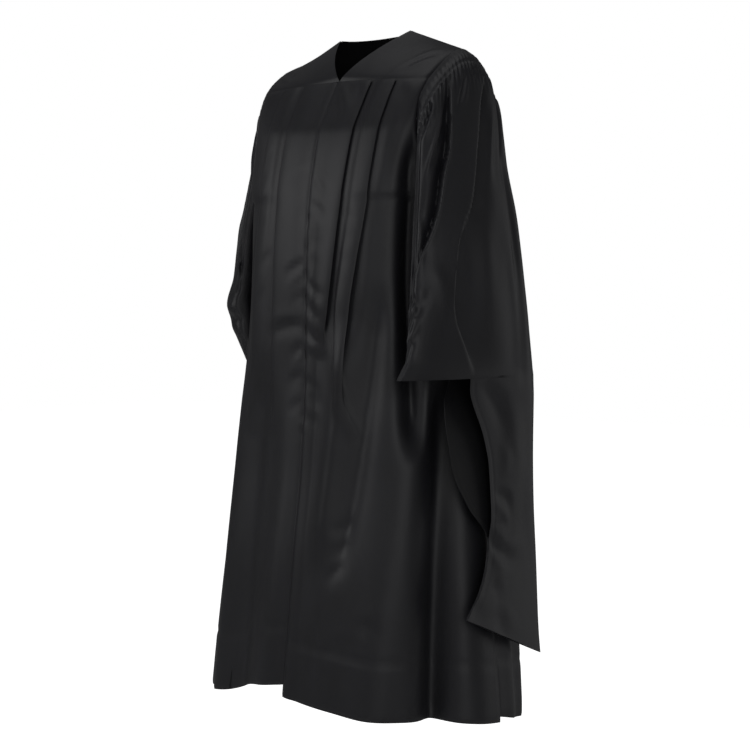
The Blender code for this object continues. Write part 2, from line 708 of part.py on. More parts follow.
def sleeve(name, side, rings, shift, valleys):
    """A bag sleeve: gathered head, closed tube to the hand opening, and the long tail."""
    count = int(round(360 / RING_STEP))
    points = []
    flat_at = {}
    index = {}

    def add(key, x, y, z):
        index[key] = len(points)
        points.append((side * x, y, z))

    def tube_point(angle, z, drop):
        x, y = ring_point(rings, angle, z)
        turn = math.radians(angle)
        depth = valley(valleys, angle) * read(FLUTE_FADE, FLUTE_FADE_COLUMNS, "amount", drop)
        return x + depth * math.sin(turn), y - depth * math.cos(turn) * VALLEY_ALONG_Y

    for j in range(count):
        angle = j * RING_STEP
        start_x, start_y, start_z = armhole(angle)
        for i, share in enumerate(HEAD_SHARES):
            z = mix(start_z, HEAD_END_Z, share)
            drop = start_z - z
            goal_x, goal_y = tube_point(angle, z, drop)
            pull = drop / (drop + HEAD_PUFF)
            pull = mix(pull, 1.0, smooth_step(HEAD_PUFF_SHARE, 1.0, share))
            x = mix(start_x, goal_x, pull)
            y = mix(start_y, goal_y, pull)
            if i == 0:
                x += ARMHOLE_GAP
                flat_at[len(points)] = (1, 0, 0)
            else:
                grown = smooth_step(0.0, HEAD_CLEAR_SHARE, share)
                room = mix(ARMHOLE_GAP, BODY_CLEARANCE, grown)
                x = clear_of_body(x, y, z, room)
            add((i, j), x, y, z)
    rows = len(HEAD_SHARES)
    for z in ARM_ROWS:
        for j in range(count):
            angle = j * RING_STEP
            x, y = tube_point(angle, z, armhole(angle)[2] - z)
            add((rows, j), clear_of_body(x, y, z, BODY_CLEARANCE), y, z)
        rows += 1
    cuff = rows - 1
    first = int(round(FRONT_ZONE / RING_STEP))
    final = count - first
    shift_x, shift_y = shift
    for row_z in TAIL_ROWS:
        mid_front, mid_back, outer, inner, edge_outer, edge_inner, back_y = (
            read(TAIL, TAIL_COLUMNS, column, row_z) for column in TAIL_COLUMNS[1:])
        for j in range(first, final + 1):
            angle = j * RING_STEP
            outside = angle <= 180
            edge = edge_outer if outside else edge_inner
            base = math.cos(math.radians(FRONT_ZONE))
            share = (base - math.cos(math.radians(angle))) / (base + 1)
            y = mix(edge, back_y, share)
            round_back = math.sqrt(max(0.0, 1 - share ** TAIL_ROUND))
            shut = 1.0
            if row_z <= TAIL_JOIN_Z:
                shut = mix(TAIL_TIP_SHUT, 1.0, smooth_step(0.0, TAIL_TIP_SHARE, share))
            depth = (outer if outside else -inner) * round_back * shut
            x = mix(mid_front, mid_back, share) + depth
            drop = smooth_step(TAIL_JOIN_Z, TAIL_ROWS[-1], row_z) * TAIL_BACK_DROP
            add((rows, j), x + shift_x, y + shift_y, row_z - drop * share)
        rows += 1
    quads = []
    for i in range(cuff):
        for j in range(count):
            nxt = (j + 1) % count
            quads.append((index[i, j], index[i + 1, j], index[i + 1, nxt], index[i, nxt]))
    for i in range(cuff, rows - 1):
        for j in range(first, final):
            quads.append((index[i, j], index[i + 1, j], index[i + 1, j + 1], index[i, j + 1]))
        if i > cuff and TAIL_ROWS[i - cuff - 1] <= TAIL_JOIN_Z:
            quads.append((index[i, final], index[i + 1, final], index[i + 1, first],
                          index[i, first]))
    bottom = rows - 1
    for j in range(first, (first + final) // 2 - 1):
        other = first + final - j
        quads.append((index[bottom, j], index[bottom, other], index[bottom, other - 1],
                      index[bottom, j + 1]))
    middle = (first + final) // 2
    tip = (index[bottom, middle - 1], index[bottom, middle + 1], index[bottom, middle])
    if side < 0:
        quads = [quad[::-1] for quad in quads]
        tip = tip[::-1]
    return cloth(name, points, quads, flat_at, tips=[tip])


def front_zip():
    """The closed zip's tape, a plain strip behind both front edges."""
    places = (-ZIP_HALF, 0.0, ZIP_HALF)
    points = []
    rows = [z for z in FRONT_ROWS[1:] if z > ZIP_BOTTOM_Z] + [ZIP_BOTTOM_Z]
    for z in rows:
        middle = read(BODY, BODY_COLUMNS, "front_y", z)
        for place in places:
            points.append((place, middle + ZIP_BACK, z))
    return cloth("front_zip", points, grid_quads(len(rows), len(places)), {}, ZIP_WALL)


def build():
    for thing in list(bpy.data.objects):
        bpy.data.objects.remove(thing, do_unlink=True)
    front_yoke("yoke_front_left", 1)
    front_yoke("yoke_front_right", -1)
    back_yoke()
    front("front_left", 1, LEFT_PLEATS, LEFT_FOLDS, LEFT_EDGE, FLY_LIFT)
    front("front_right", -1, RIGHT_PLEATS, RIGHT_FOLDS, RIGHT_EDGE, 0.0)
    back()
    sleeve("sleeve_left", 1, LEFT_RINGS, LEFT_TAIL_SHIFT, LEFT_VALLEYS)
    sleeve("sleeve_right", -1, RIGHT_RINGS, RIGHT_TAIL_SHIFT, RIGHT_VALLEYS)
    front_zip()


build()
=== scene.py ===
"""Looks of the graduation gown: satin panels with their creases, the zip, and the sewing."""
import math

import bpy
import numpy as np
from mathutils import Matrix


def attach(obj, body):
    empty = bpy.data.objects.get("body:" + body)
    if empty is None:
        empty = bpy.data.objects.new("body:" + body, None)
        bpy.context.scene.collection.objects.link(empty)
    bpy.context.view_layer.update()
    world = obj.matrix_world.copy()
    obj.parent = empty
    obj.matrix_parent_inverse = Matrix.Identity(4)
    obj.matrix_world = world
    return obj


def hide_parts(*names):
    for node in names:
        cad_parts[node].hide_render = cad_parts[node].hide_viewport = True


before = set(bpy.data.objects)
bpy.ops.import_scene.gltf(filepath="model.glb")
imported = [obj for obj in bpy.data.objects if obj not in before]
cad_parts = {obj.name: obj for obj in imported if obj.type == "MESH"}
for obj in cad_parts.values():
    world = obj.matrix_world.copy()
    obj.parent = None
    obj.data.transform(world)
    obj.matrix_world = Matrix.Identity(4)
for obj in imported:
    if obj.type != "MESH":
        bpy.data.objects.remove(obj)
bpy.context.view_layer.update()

# ---- Sizes of the gown, in metres, the same as the part's own
CLOTH = 0.0006
EDGE_GAP = 0.0003
BODY_CLEARANCE = 0.005
LEAN, LEAN_WIDTH, LEAN_FROM_Z, LEAN_FULL_Z = 0.011, 0.150, -0.110, -0.035
NECK_POINT = (0.072, 0.0, 0.0)
NECK_CURVE = (0.92, 1.35, 0.86)
NAPE = (0.0, 0.068, 0.004)
NAPE_ROUND = 0.6
YOKE_SEAM_Z = -0.087
YOKE_SEAM_FALL = 0.004
BACK_YOKE_SEAM_Z = -0.130
UNDERARM_Z = -0.280
HEM_Z = -1.090
HEM_DEPTH = 0.090
ARMHOLE_MID_Z, ARMHOLE_HALF_HEIGHT = -0.159, 0.121
ARMHOLE_COLUMNS = ("angle", "x", "y")
ARMHOLE = (
    (-90, 0.187, -0.010), (-60, 0.180, -0.060), (-30, 0.168, -0.094), (0, 0.160, -0.106),
    (15, 0.160, -0.101), (30, 0.163, -0.085), (45, 0.1675, -0.061), (60, 0.171, -0.038),
    (90, 0.175, 0.000), (120, 0.172, 0.043), (150, 0.166, 0.080), (180, 0.163, 0.100),
    (210, 0.168, 0.090), (240, 0.180, 0.052), (270, 0.187, -0.010),
)
BODY_COLUMNS = ("z", "half_width", "front_y", "back_y", "side_y", "square")
BODY = (
    (-0.087, 0.165, -0.096, 0.102, -0.010, 0.60),
    (-0.130, 0.165, -0.122, 0.118, -0.010, 0.62),
    (-0.175, 0.168, -0.145, 0.128, -0.010, 0.66),
    (-0.210, 0.172, -0.156, 0.134, -0.010, 0.70),
    (-0.280, 0.187, -0.170, 0.145, -0.010, 0.75),
    (-0.400, 0.182, -0.178, 0.152, -0.014, 0.78),
    (-0.550, 0.200, -0.181, 0.155, -0.016, 0.74),
    (-0.690, 0.222, -0.191, 0.160, -0.018, 0.70),
    (-0.860, 0.245, -0.215, 0.160, -0.022, 0.64),
    (-1.090, 0.270, -0.243, 0.160, -0.030, 0.58),
)
HEM_COLUMNS = ("share", "front_left", "front_right", "back")
HEM = (
    (0.00, 0.027, 0.046, -0.015), (0.20, 0.014, 0.036, -0.025), (0.40, 0.006, 0.014, -0.029),
    (0.60, 0.002, 0.006, -0.029), (0.80, -0.004, 0.000, -0.022), (1.00, -0.015, -0.006, -0.006),
)
PLEAT_COLUMNS = ("z", "place", "closed", "overlap", "lift", "spread")
LEFT_PLEATS = (
    (
        (-0.087, 0.064, 1.0, 0.014, 0.0037, 1.0), (-0.250, 0.058, 1.0, 0.014, 0.0045, 1.0),
        (-0.374, 0.048, 1.0, 0.014, 0.0060, 1.0), (-0.450, 0.040, 0.9, 0.012, 0.0070, 1.0),
        (-0.530, 0.032, 0.0, 0.010, 0.0050, 1.0), (-0.610, 0.032, 0.0, 0.010, 0.0040, 1.0),
        (-0.700, 0.036, 0.0, 0.010, 0.0040, 1.4), (-1.120, 0.050, 0.0, 0.010, 0.0040, 2.4),
    ),
    (
        (-0.087, 0.110, 1.0, 0.014, 0.0037, 1.0), (-0.284, 0.101, 1.0, 0.014, 0.0045, 1.0),
        (-0.384, 0.088, 1.0, 0.014, 0.0065, 1.0), (-0.450, 0.079, 1.0, 0.014, 0.0080, 1.0),
        (-0.510, 0.075, 0.9, 0.013, 0.0080, 1.0), (-0.590, 0.076, 0.3, 0.012, 0.0070, 1.0),
        (-0.660, 0.096, 0.0, 0.010, 0.0040, 1.2), (-1.120, 0.160, 0.0, 0.010, 0.0040, 2.4),
    ),
)
RIGHT_PLEATS = (
    (
        (-0.087, 0.064, 1.0, 0.014, 0.0037, 1.0), (-0.400, 0.068, 1.0, 0.013, 0.0042, 1.0),
        (-0.560, 0.071, 0.8, 0.012, 0.0045, 1.0), (-0.660, 0.073, 0.0, 0.010, 0.0040, 1.0),
        (-1.120, 0.085, 0.0, 0.010, 0.0040, 2.4),
    ),
    (
        (-0.087, 0.108, 1.0, 0.014, 0.0037, 1.0), (-0.250, 0.110, 1.0, 0.014, 0.0042, 1.0),
        (-0.420, 0.126, 1.0, 0.013, 0.0045, 1.0), (-0.560, 0.132, 0.7, 0.012, 0.0045, 1.0),
        (-0.660, 0.138, 0.0, 0.010, 0.0040, 1.0), (-1.120, 0.170, 0.0, 0.010, 0.0040, 2.4),
    ),
)
FOLD_COLUMNS = ("z_from", "z_to", "place_from", "place_to", "width", "height_from", "height_to",
                "fade")
LEFT_FOLDS = (
    (-0.46, -0.88, 0.078, 0.040, 0.020, 0.013, 0.006, 0.10),
    (-0.40, -0.90, 0.132, 0.084, 0.017, -0.011, -0.008, 0.10),
    (-0.52, -1.20, 0.175, 0.150, 0.045, 0.006, 0.020, 0.12),
    (-0.16, -0.70, 0.172, 0.190, 0.018, -0.018, -0.030, 0.09),
    (-0.50, -1.20, 0.235, 0.262, 0.026, -0.014, -0.046, 0.14),
    (-0.60, -1.20, 0.300, 0.335, 0.035, 0.002, 0.012, 0.10),
)
RIGHT_FOLDS = (
    (-0.55, -1.20, 0.030, 0.045, 0.022, 0.002, 0.010, 0.12),
    (-0.50, -1.20, 0.100, 0.120, 0.026, -0.004, -0.014, 0.12),
    (-0.50, -1.20, 0.160, 0.180, 0.026, 0.004, 0.012, 0.12),
    (-0.86, -1.20, 0.205, 0.214, 0.010, -0.006, -0.020, 0.08),
    (-0.50, -1.20, 0.230, 0.262, 0.020, 0.002, 0.004, 0.12),
    (-0.55, -1.20, 0.280, 0.312, 0.026, -0.006, -0.024, 0.12),
)
# The nine points across a pleat: pressed, each lies so many overlaps and metres from the fold
# edge and so many lifts out; opened out, at a share of PLEAT_OPEN_WIDTH.
PLEAT_POINT_COLUMNS = ("overlaps", "past", "lifts", "opened")
PLEAT_POINTS = (
    (-1.25, 0.0, 1.90, -0.45), (-0.30, 0.0, 2.00, -0.25), (0.0, 0.004, 1.50, 0.0),
    (-0.30, 0.0, 1.05, 0.15), (-0.90, 0.0, 1.00, 0.30), (-1.15, 0.0, 0.55, 0.45),
    (-0.95, 0.0, 0.12, 0.62), (-0.40, 0.0, 0.0, 0.80), (0.0, 0.010, 0.0, 1.0),
)
PLEAT_OPEN_WIDTH = 0.026
CENTRE_COLUMNS, BETWEEN_COLUMNS, SIDE_COLUMNS = 4, 2, 13
LEFT_EDGE, RIGHT_EDGE = -0.003, -0.012
FLY_LIFT, FLY_WIDTH = 0.0029, 0.010
BACK_FLUTES = 11
FLUTE_DEPTH_TOP, FLUTE_DEPTH_HEM = 0.0035, 0.017
FLUTE_UNEVEN = (1.0, 0.7, 1.15, 0.85, 1.2, 0.9, 1.1, 0.75, 1.2, 0.8, 1.0)
RING_COLUMNS = ("z", "front_x", "front_y", "back_x", "back_y", "outer", "inner")
LEFT_RINGS = (
    (-0.038, 0.176, -0.100, 0.204, 0.058, 0.036, 0.030),
    (-0.120, 0.178, -0.118, 0.214, 0.058, 0.040, 0.026),
    (-0.213, 0.181, -0.133, 0.222, 0.056, 0.043, 0.020),
    (-0.300, 0.188, -0.150, 0.236, 0.058, 0.040, 0.022),
    (-0.400, 0.196, -0.168, 0.249, 0.062, 0.036, 0.026),
    (-0.470, 0.200, -0.180, 0.256, 0.067, 0.033, 0.024),
    (-0.525, 0.202, -0.190, 0.260, 0.071, 0.030, 0.022),
    (-0.560, 0.202, -0.214, 0.262, 0.074, 0.028, 0.020),
)
RIGHT_RINGS = (
    (-0.038, 0.176, -0.080, 0.196, 0.070, 0.024, 0.028),
    (-0.120, 0.178, -0.084, 0.210, 0.078, 0.028, 0.026),
    (-0.213, 0.184, -0.090, 0.226, 0.088, 0.034, 0.022),
    (-0.300, 0.200, -0.088, 0.246, 0.102, 0.036, 0.026),
    (-0.400, 0.226, -0.076, 0.268, 0.122, 0.044, 0.034),
    (-0.450, 0.244, -0.066, 0.280, 0.136, 0.054, 0.040),
    (-0.500, 0.238, -0.058, 0.276, 0.150, 0.047, 0.032),
    (-0.560, 0.226, -0.046, 0.270, 0.164, 0.031, 0.020),
)
TAIL_COLUMNS = ("z", "mid_front_x", "mid_back_x", "outer", "inner", "edge_outer", "edge_inner",
                "back_y")
TAIL = (
    (-0.560, 0.226, 0.262, 0.026, 0.018, -0.100, -0.100, 0.074),
    (-0.600, 0.234, 0.262, 0.020, 0.014, -0.086, -0.116, 0.074),
    (-0.650, 0.243, 0.262, 0.016, 0.010, -0.064, -0.126, 0.074),
    (-0.700, 0.250, 0.263, 0.013, 0.008, -0.054, -0.124, 0.073),
    (-0.757, 0.258, 0.265, 0.009, 0.006, -0.054, -0.098, 0.073),
    (-0.809, 0.264, 0.268, 0.006, 0.005, -0.058, -0.058, 0.073),
    (-0.850, 0.269, 0.271, 0.005, 0.005, -0.070, -0.070, 0.074),
    (-0.889, 0.274, 0.274, 0.005, 0.005, -0.096, -0.096, 0.075),
    (-0.926, 0.279, 0.277, 0.005, 0.005, -0.139, -0.139, 0.078),
)
LEFT_TAIL_SHIFT, RIGHT_TAIL_SHIFT = (0.0, 0.0), (-0.006, 0.090)
TAIL_BACK_DROP = 0.084
CUFF_Z, TAIL_JOIN_Z, TAIL_TIP_Z = -0.560, -0.809, -0.926
TAIL_TIP_SHUT, TAIL_TIP_SHARE = 0.45, 0.25
FRONT_ZONE = 82.5
HEAD_END_Z, HEAD_PUFF, HEAD_CLEAR_SHARE = -0.330, 0.020, 0.07
VALLEY_COLUMNS = ("angle", "depth", "width")
LEFT_VALLEYS = (
    (5, 0.009, 7), (136, 0.011, 10), (164, 0.010, 9), (192, 0.009, 9), (218, 0.006, 9),
    (252, 0.004, 10), (292, 0.004, 10), (330, 0.006, 9),
)
RIGHT_VALLEYS = (
    (8, 0.008, 8), (130, 0.012, 10), (156, 0.011, 9), (184, 0.010, 9), (214, 0.006, 9),
    (250, 0.004, 10), (290, 0.004, 10), (328, 0.005, 9),
)
FLUTE_FADE_COLUMNS = ("drop", "amount")
FLUTE_FADE = ((0.0, 0.0), (0.03, 0.55), (0.09, 1.0), (0.22, 0.9), (0.34, 0.40), (0.50, 0.10),
              (1.10, 0.0))
# The two deep folds of a sleeve's outer side. Each stands up at its line and falls away sharply
# to one side, then comes back within its reach; the flat panel between them is what shows.
FALL_COLUMNS = ("z", "place", "lift", "depth", "reach")
FRONT_FALL = (
    (-0.085, 0.099, 0.0, 0.0, 0.012), (-0.110, 0.095, 0.001, 0.006, 0.013),
    (-0.144, 0.094, 0.002, 0.011, 0.015), (-0.204, 0.091, 0.003, 0.014, 0.017),
    (-0.236, 0.082, 0.003, 0.015, 0.018), (-0.296, 0.072, 0.003, 0.013, 0.018),
    (-0.325, 0.062, 0.003, 0.012, 0.017), (-0.359, 0.042, 0.002, 0.008, 0.015),
    (-0.384, 0.025, 0.001, 0.005, 0.014), (-0.413, 0.004, 0.0, 0.0, 0.012),
)
BACK_FALL = (
    (-0.078, 0.192, 0.0, 0.0, 0.012), (-0.100, 0.180, 0.001, 0.006, 0.013),
    (-0.125, 0.168, 0.002, 0.011, 0.015), (-0.191, 0.155, 0.003, 0.014, 0.018),
    (-0.275, 0.141, 0.003, 0.012, 0.024), (-0.301, 0.134, 0.004, 0.011, 0.032),
    (-0.330, 0.120, 0.005, 0.010, 0.044), (-0.360, 0.112, 0.005, 0.010, 0.052),
    (-0.442, 0.108, 0.005, 0.010, 0.054), (-0.512, 0.129, 0.003, 0.007, 0.040),
    (-0.556, 0.150, 0.0, 0.0, 0.030),
)
FALL_EDGE, LIFT_REACH = 0.0028, 0.030
ZIP_TOP_Z, ZIP_BOTTOM_Z, ZIP_HALF, ZIP_BACK = -0.110, -0.630, 0.013, 0.0023

# ---- Creases, in millimetres: each runs from one point of the flat panel to another, bowed
# sideways by bend, as a trough (height below 0) or a ridge, and dies out towards both ends.
CREASE_COLUMNS = ("from_place", "from_z", "to_place", "to_z", "bend", "width", "height")
LEFT_CREASES = (
    # the fold that falls from the V, and the hollows beside it
    (8, -90, 50, -154, 2, 8, 2.8),
    (44, -90, 58, -124, 2, 6, -2.2),
    (12, -118, 38, -166, 3, 10, -1.6),
    # puckers of the zip side
    (2, -238, 44, -276, -4, 6, -2.4),
    (0, -282, 34, -306, -3, 7, -2.6),
    (4, -296, 26, -318, 2, 6, 1.8),
    (0, -318, 46, -320, 1, 4, 1.3),
    (2, -346, 36, -352, 2, 7, -1.2),
    (0, -376, 30, -384, 2, 6, -1.0),
    (0, -408, 38, -432, -3, 6, -2.4),
    (0, -420, 34, -446, -3, 5, 1.4),
    (0, -444, 36, -468, -4, 6, -2.2),
    (0, -458, 30, -482, -3, 5, 1.2),
    (0, -482, 34, -508, -4, 6, -2.6),
    (0, -498, 28, -522, -3, 5, 1.4),
    (0, -524, 40, -540, 3, 8, -1.6),
    (0, -560, 30, -586, -3, 7, -1.8),
    (0, -592, 36, -606, 3, 8, -1.2),
    (0, -622, 26, -640, 2, 8, -1.4),
    # dents between the two pleats
    (58, -300, 90, -316, 3, 6, -2.0),
    (66, -338, 86, -346, 2, 5, -1.6),
    (56, -372, 84, -384, 3, 7, -1.0),
    # pull from the yoke corner by the armhole
    (128, -92, 156, -112, 3, 7, 1.8),
    (120, -108, 150, -134, 3, 8, -1.4),
    # soft lengthwise ridges beside the armhole
    (126, -140, 118, -330, 4, 9, 1.6),
    (142, -150, 134, -300, -3, 8, -1.4),
    (112, -300, 100, -470, 3, 9, 1.4),
    # long soft folds below
    (60, -600, 44, -820, 6, 12, 2.6),
    (84, -660, 70, -900, -5, 14, -2.4),
    (34, -700, 30, -1010, 4, 12, -1.6),
    (100, -780, 64, -800, 6, 9, -3.0),
    (96, -812, 58, -838, 5, 8, -2.6),
    (92, -850, 66, -880, -4, 8, -2.2),
    (52, -905, 46, -1050, 3, 6, -1.5),
    (140, -560, 150, -900, 8, 16, -2.0),
    (190, -640, 200, -980, -6, 18, 2.4),
    (120, -940, 170, -955, 5, 12, -1.6),
    (70, -985, 120, -975, 4, 10, -1.4),
    # side
    (250, -340, 262, -640, 6, 16, -2.4),
    (285, -700, 300, -1040, -6, 18, 2.4),
)
RIGHT_CREASES = (
    # puckers of the zip side
    (4, -232, 40, -252, 4, 7, -2.2),
    (2, -250, 30, -262, 3, 5, -1.6),
    (4, -300, 26, -306, 3, 7, -1.0),
    (2, -376, 44, -402, 4, 6, -2.2),
    (0, -388, 36, -416, 3, 5, 1.2),
    (2, -430, 30, -446, 3, 6, -1.2),
    (4, -478, 86, -500, 6, 10, -3.0),
    (0, -508, 30, -530, 4, 6, -2.0),
    (0, -520, 24, -544, 3, 5, 1.2),
    (2, -556, 34, -574, 3, 7, -1.6),
    (0, -596, 30, -618, 3, 7, -1.6),
    # small slanting creases by the outer pleat
    (86, -196, 104, -214, 3, 5, -1.2),
    (92, -226, 112, -246, 3, 6, -1.6),
    (88, -262, 110, -286, -3, 6, -1.6),
    (94, -306, 116, -330, 3, 6, -1.4),
    (78, -360, 108, -392, 3, 7, -1.4),
    (96, -420, 120, -452, -3, 8, -1.2),
    # pull from the yoke corner by the armhole
    (128, -92, 154, -114, 3, 7, 1.8),
    (118, -104, 148, -138, 3, 8, -1.2),
    # long soft folds
    (48, -130, 52, -330, 4, 12, 1.0),
    (130, -300, 152, -520, 4, 12, 2.2),
    (146, -420, 168, -660, 3, 10, -2.2),
    (60, -640, 70, -900, 5, 15, -2.0),
    (30, -700, 36, -1000, -4, 14, 1.6),
    (120, -700, 150, -980, 6, 18, 2.4),
    (90, -880, 96, -1050, 3, 12, -1.6),
    (208, -980, 214, -1066, 2, 7, -3.0),
    (196, -1000, 198, -1070, 2, 8, 2.0),
    (230, -620, 250, -960, -6, 18, -2.4),
    (280, -500, 300, -1000, 6, 20, 2.0),
)
BACK_CREASES = (
    (-150, -180, -120, -300, 6, 12, -2.4),
    (140, -190, 112, -320, -6, 12, -2.2),
    (-60, -300, -20, -350, 5, 12, -2.0),
    (40, -330, 90, -372, -5, 12, -1.8),
    (-110, -420, -40, -452, 6, 14, -2.2),
    (20, -470, 110, -500, 6, 14, -2.4),
    (-180, -470, -130, -540, 4, 13, -2.0),
    (150, -540, 190, -620, -4, 13, -2.2),
    (-90, -620, -70, -860, 6, 16, 2.2),
    (-20, -640, -30, -900, -6, 16, -2.4),
    (70, -700, 84, -960, 6, 16, -2.2),
    (160, -720, 176, -1000, 5, 16, 2.2),
    (-190, -760, -210, -1020, 5, 16, -2.4),
    (-240, -700, -262, -980, 6, 18, 2.2),
)
YOKE_CREASES = (
    (118, -62, 160, -40, 4, 5, 1.5),
    (124, -74, 160, -56, 3, 5, 1.6),
    (112, -70, 152, -48, 3, 5, -1.0),
    (92, -78, 128, -70, 3, 8, 0.8),
    (40, -60, 88, -36, 5, 14, 0.7),
)
# On the sleeves the place runs round the arm from its front edge, outwards.
LEFT_ARM_CREASES = (
    # gathers that fall from the shirring at the head
    (54, -128, 12, -190, 4, 5, -4.5),
    (245, -112, 213, -254, 4, 7, -4.5),
    (133, -80, 108, -143, 2, 4, -3.4),
    (160, -73, 157, -90, 0, 4, -2.6),
    (78, -140, 35, -246, 4, 5, 3.6),
    (201, -128, 178, -254, -3, 7, 3.2),
    (-6, -436, 46, -458, 6, 9, -3.4),
    (-14, -456, 52, -444, -5, 7, 2.4),
    (-16, -478, 60, -430, -8, 8, -3.2),
    (-10, -500, 40, -474, -6, 7, 2.6),
    (-20, -518, 34, -498, -5, 8, -3.0),
    (-30, -538, 30, -528, 4, 8, -1.6),
    (60, -388, 104, -470, 8, 14, 2.2),
    (92, -420, 120, -520, 6, 16, -2.0),
    (20, -300, 34, -408, 5, 8, 1.8),
    (128, -330, 140, -520, 6, 18, -2.4),
    (170, -300, 176, -540, -6, 16, 2.2),
    (206, -360, 212, -620, 6, 16, -2.0),
    (250, -300, 246, -600, 6, 18, 2.0),
    (-60, -430, -24, -452, 4, 10, -2.4),
    (-80, -300, -62, -420, 4, 12, 2.0),
    # fan of creases where the tail's layers join
    (88, -742, 128, -764, 6, 7, -3.2),
    (84, -758, 122, -790, 4, 6, 2.0),
    (80, -796, 124, -802, -5, 6, 2.4),
    (78, -806, 150, -842, -10, 7, -3.4),
    (78, -815, 104, -834, -3, 5, -2.2),
    (80, -822, 120, -858, -5, 7, 1.6),
    (90, -872, 112, -888, 3, 7, -2.0),
    (110, -902, 132, -930, 3, 9, -2.2),
    (66, -900, 92, -926, 3, 8, -1.8),
    (96, -560, 120, -660, 8, 14, -3.4),
    (132, -600, 140, -760, 6, 20, 2.4),
    (164, -640, 170, -900, -6, 20, -1.8),
    (118, -668, 104, -730, 5, 12, 1.8),
)
RIGHT_ARM_CREASES = (
    (44, -120, 10, -180, 4, 5, -4.0),
    (232, -110, 214, -236, 4, 7, -4.5),
    (128, -78, 112, -150, 2, 5, -3.6),
    (70, -136, 40, -236, 4, 5, 3.2),
    (206, -124, 184, -240, -3, 7, 3.0),
    (-10, -420, 60, -446, 6, 10, -3.4),
    (0, -444, 80, -452, -6, 9, 2.6),
    (-14, -472, 70, -462, -6, 9, -3.2),
    (30, -486, 96, -500, 6, 10, 2.0),
    (-10, -510, 60, -524, 5, 9, -2.6),
    (110, -400, 150, -470, 8, 14, -2.8),
    (150, -440, 190, -520, 6, 14, 2.4),
    (70, -300, 76, -400, 6, 14, 2.0),
    (190, -300, 196, -560, 6, 16, -2.2),
    (240, -320, 240, -600, -6, 18, 2.0),
    (96, -560, 120, -660, 8, 14, -3.0),
    (132, -600, 140, -760, 6, 20, 2.2),
    (84, -758, 124, -786, 5, 7, -2.6),
    (80, -800, 130, -826, -6, 7, 2.2),
    (80, -816, 126, -856, -5, 7, -2.6),
    (110, -896, 132, -926, 3, 9, -2.0),
    (164, -640, 170, -900, -6, 20, -1.8),
)
MM = 0.001

# How finely each panel is laid out
ROW_STEP = 0.0075
COLUMN_SPLIT = 4
BACK_SPLIT = 20
RING_STEP, SLEEVE_ROW = 1.25, 0.005
YOKE_SPLIT = 44

# Small evenly repeated puckers where a seam draws the cloth in
ZIP_PUCKER_PITCH, ZIP_PUCKER_REACH, ZIP_PUCKER_HEIGHT = 0.0090, 0.007, 0.0005
EDGE_ROLL, EDGE_ROLL_WIDTH = 0.0027, 0.0032
SHIRRING_LINE, SHIRRING_REACH, SHIRRING_HEIGHT = 0.021, 0.028, 0.0016
SHIRRING_PUCKERS = 66
BACK_SHIRRING_PITCH, BACK_SHIRRING_REACH, BACK_SHIRRING_HEIGHT = 0.010, 0.045, 0.0017
SEAM_DIP, SEAM_DIP_WIDTH = 0.0008, 0.0035
# The level across the chest where the cloth stops leaning back and starts to hang
BUST_Z, BUST_HEIGHT, BUST_REACH, BUST_ROUND = -0.166, 0.0028, 0.020, 0.004
# Satin is thinner than the wall of the solids, so its pleats lie flatter and its gathers are
# narrower.
LIFT_SHARE = 0.6
# Stitches and zip teeth: length along the seam or across the zip, width, height
STITCH_SIZE, STITCH_ROUNDING, STITCH_PITCH = (0.0022, 0.0005, 0.0005), 0.00015, 0.0032
TOOTH_SIZE, TOOTH_ROUNDING = (0.0034, 0.0008, 0.0011), 0.00025
TOOTH_PITCH, TOOTH_SHIFT = 0.0015, 0.0006
POLYESTER_IOR = 1.53
VALLEY_NARROW, VALLEY_SQUARE = 0.66, 2.4
FRONT_CREASE_SHARE = 0.6


# ---- Shape

def read(table, columns, name, key):
    """Values of a named column at keys, on a smooth curve that never swings past its rows."""
    rows = sorted(table)
    keys = np.array([row[0] for row in rows], dtype=float)
    values = np.array([row[columns.index(name)] for row in rows], dtype=float)
    steps = np.diff(keys)
    slopes = np.diff(values) / steps
    before, after = steps[:-1], steps[1:]
    turns = slopes[:-1] * slopes[1:] <= 0
    safe_low = np.where(turns, 1.0, slopes[:-1])
    safe_high = np.where(turns, 1.0, slopes[1:])
    inner = 3 * (before + after) / ((2 * after + before) / safe_low
                                    + (after + 2 * before) / safe_high)
    tangents = np.concatenate((slopes[:1], np.where(turns, 0.0, inner), slopes[-1:]))
    key = np.clip(np.asarray(key, dtype=float), keys[0], keys[-1])
    span = np.clip(np.searchsorted(keys, key, side="right") - 1, 0, len(steps) - 1)
    h = steps[span]
    t = (key - keys[span]) / h
    return ((1 + 2 * t) * (1 - t) ** 2 * values[span] + t * (1 - t) ** 2 * h * tangents[span]
            + t * t * (3 - 2 * t) * values[span + 1]
            + t * t * (t - 1) * h * tangents[span + 1])


def smooth_step(low, high, value):
    t = np.clip((value - low) / (high - low), 0.0, 1.0)
    return t * t * (3 - 2 * t)


def mix(a, b, t):
    return a + (b - a) * t


def armhole_angle(z):
    return np.degrees(np.arcsin(np.clip((z - ARMHOLE_MID_Z) / ARMHOLE_HALF_HEIGHT, -1, 1)))


def armhole(angle):
    """Points of the armhole seam at angles round it, on the wearer's left."""
    angle = (np.asarray(angle, dtype=float) + 90) % 360 - 90
    z = ARMHOLE_MID_Z + ARMHOLE_HALF_HEIGHT * np.sin(np.radians(angle))
    return (read(ARMHOLE, ARMHOLE_COLUMNS, "x", angle),
            read(ARMHOLE, ARMHOLE_COLUMNS, "y", angle), z)


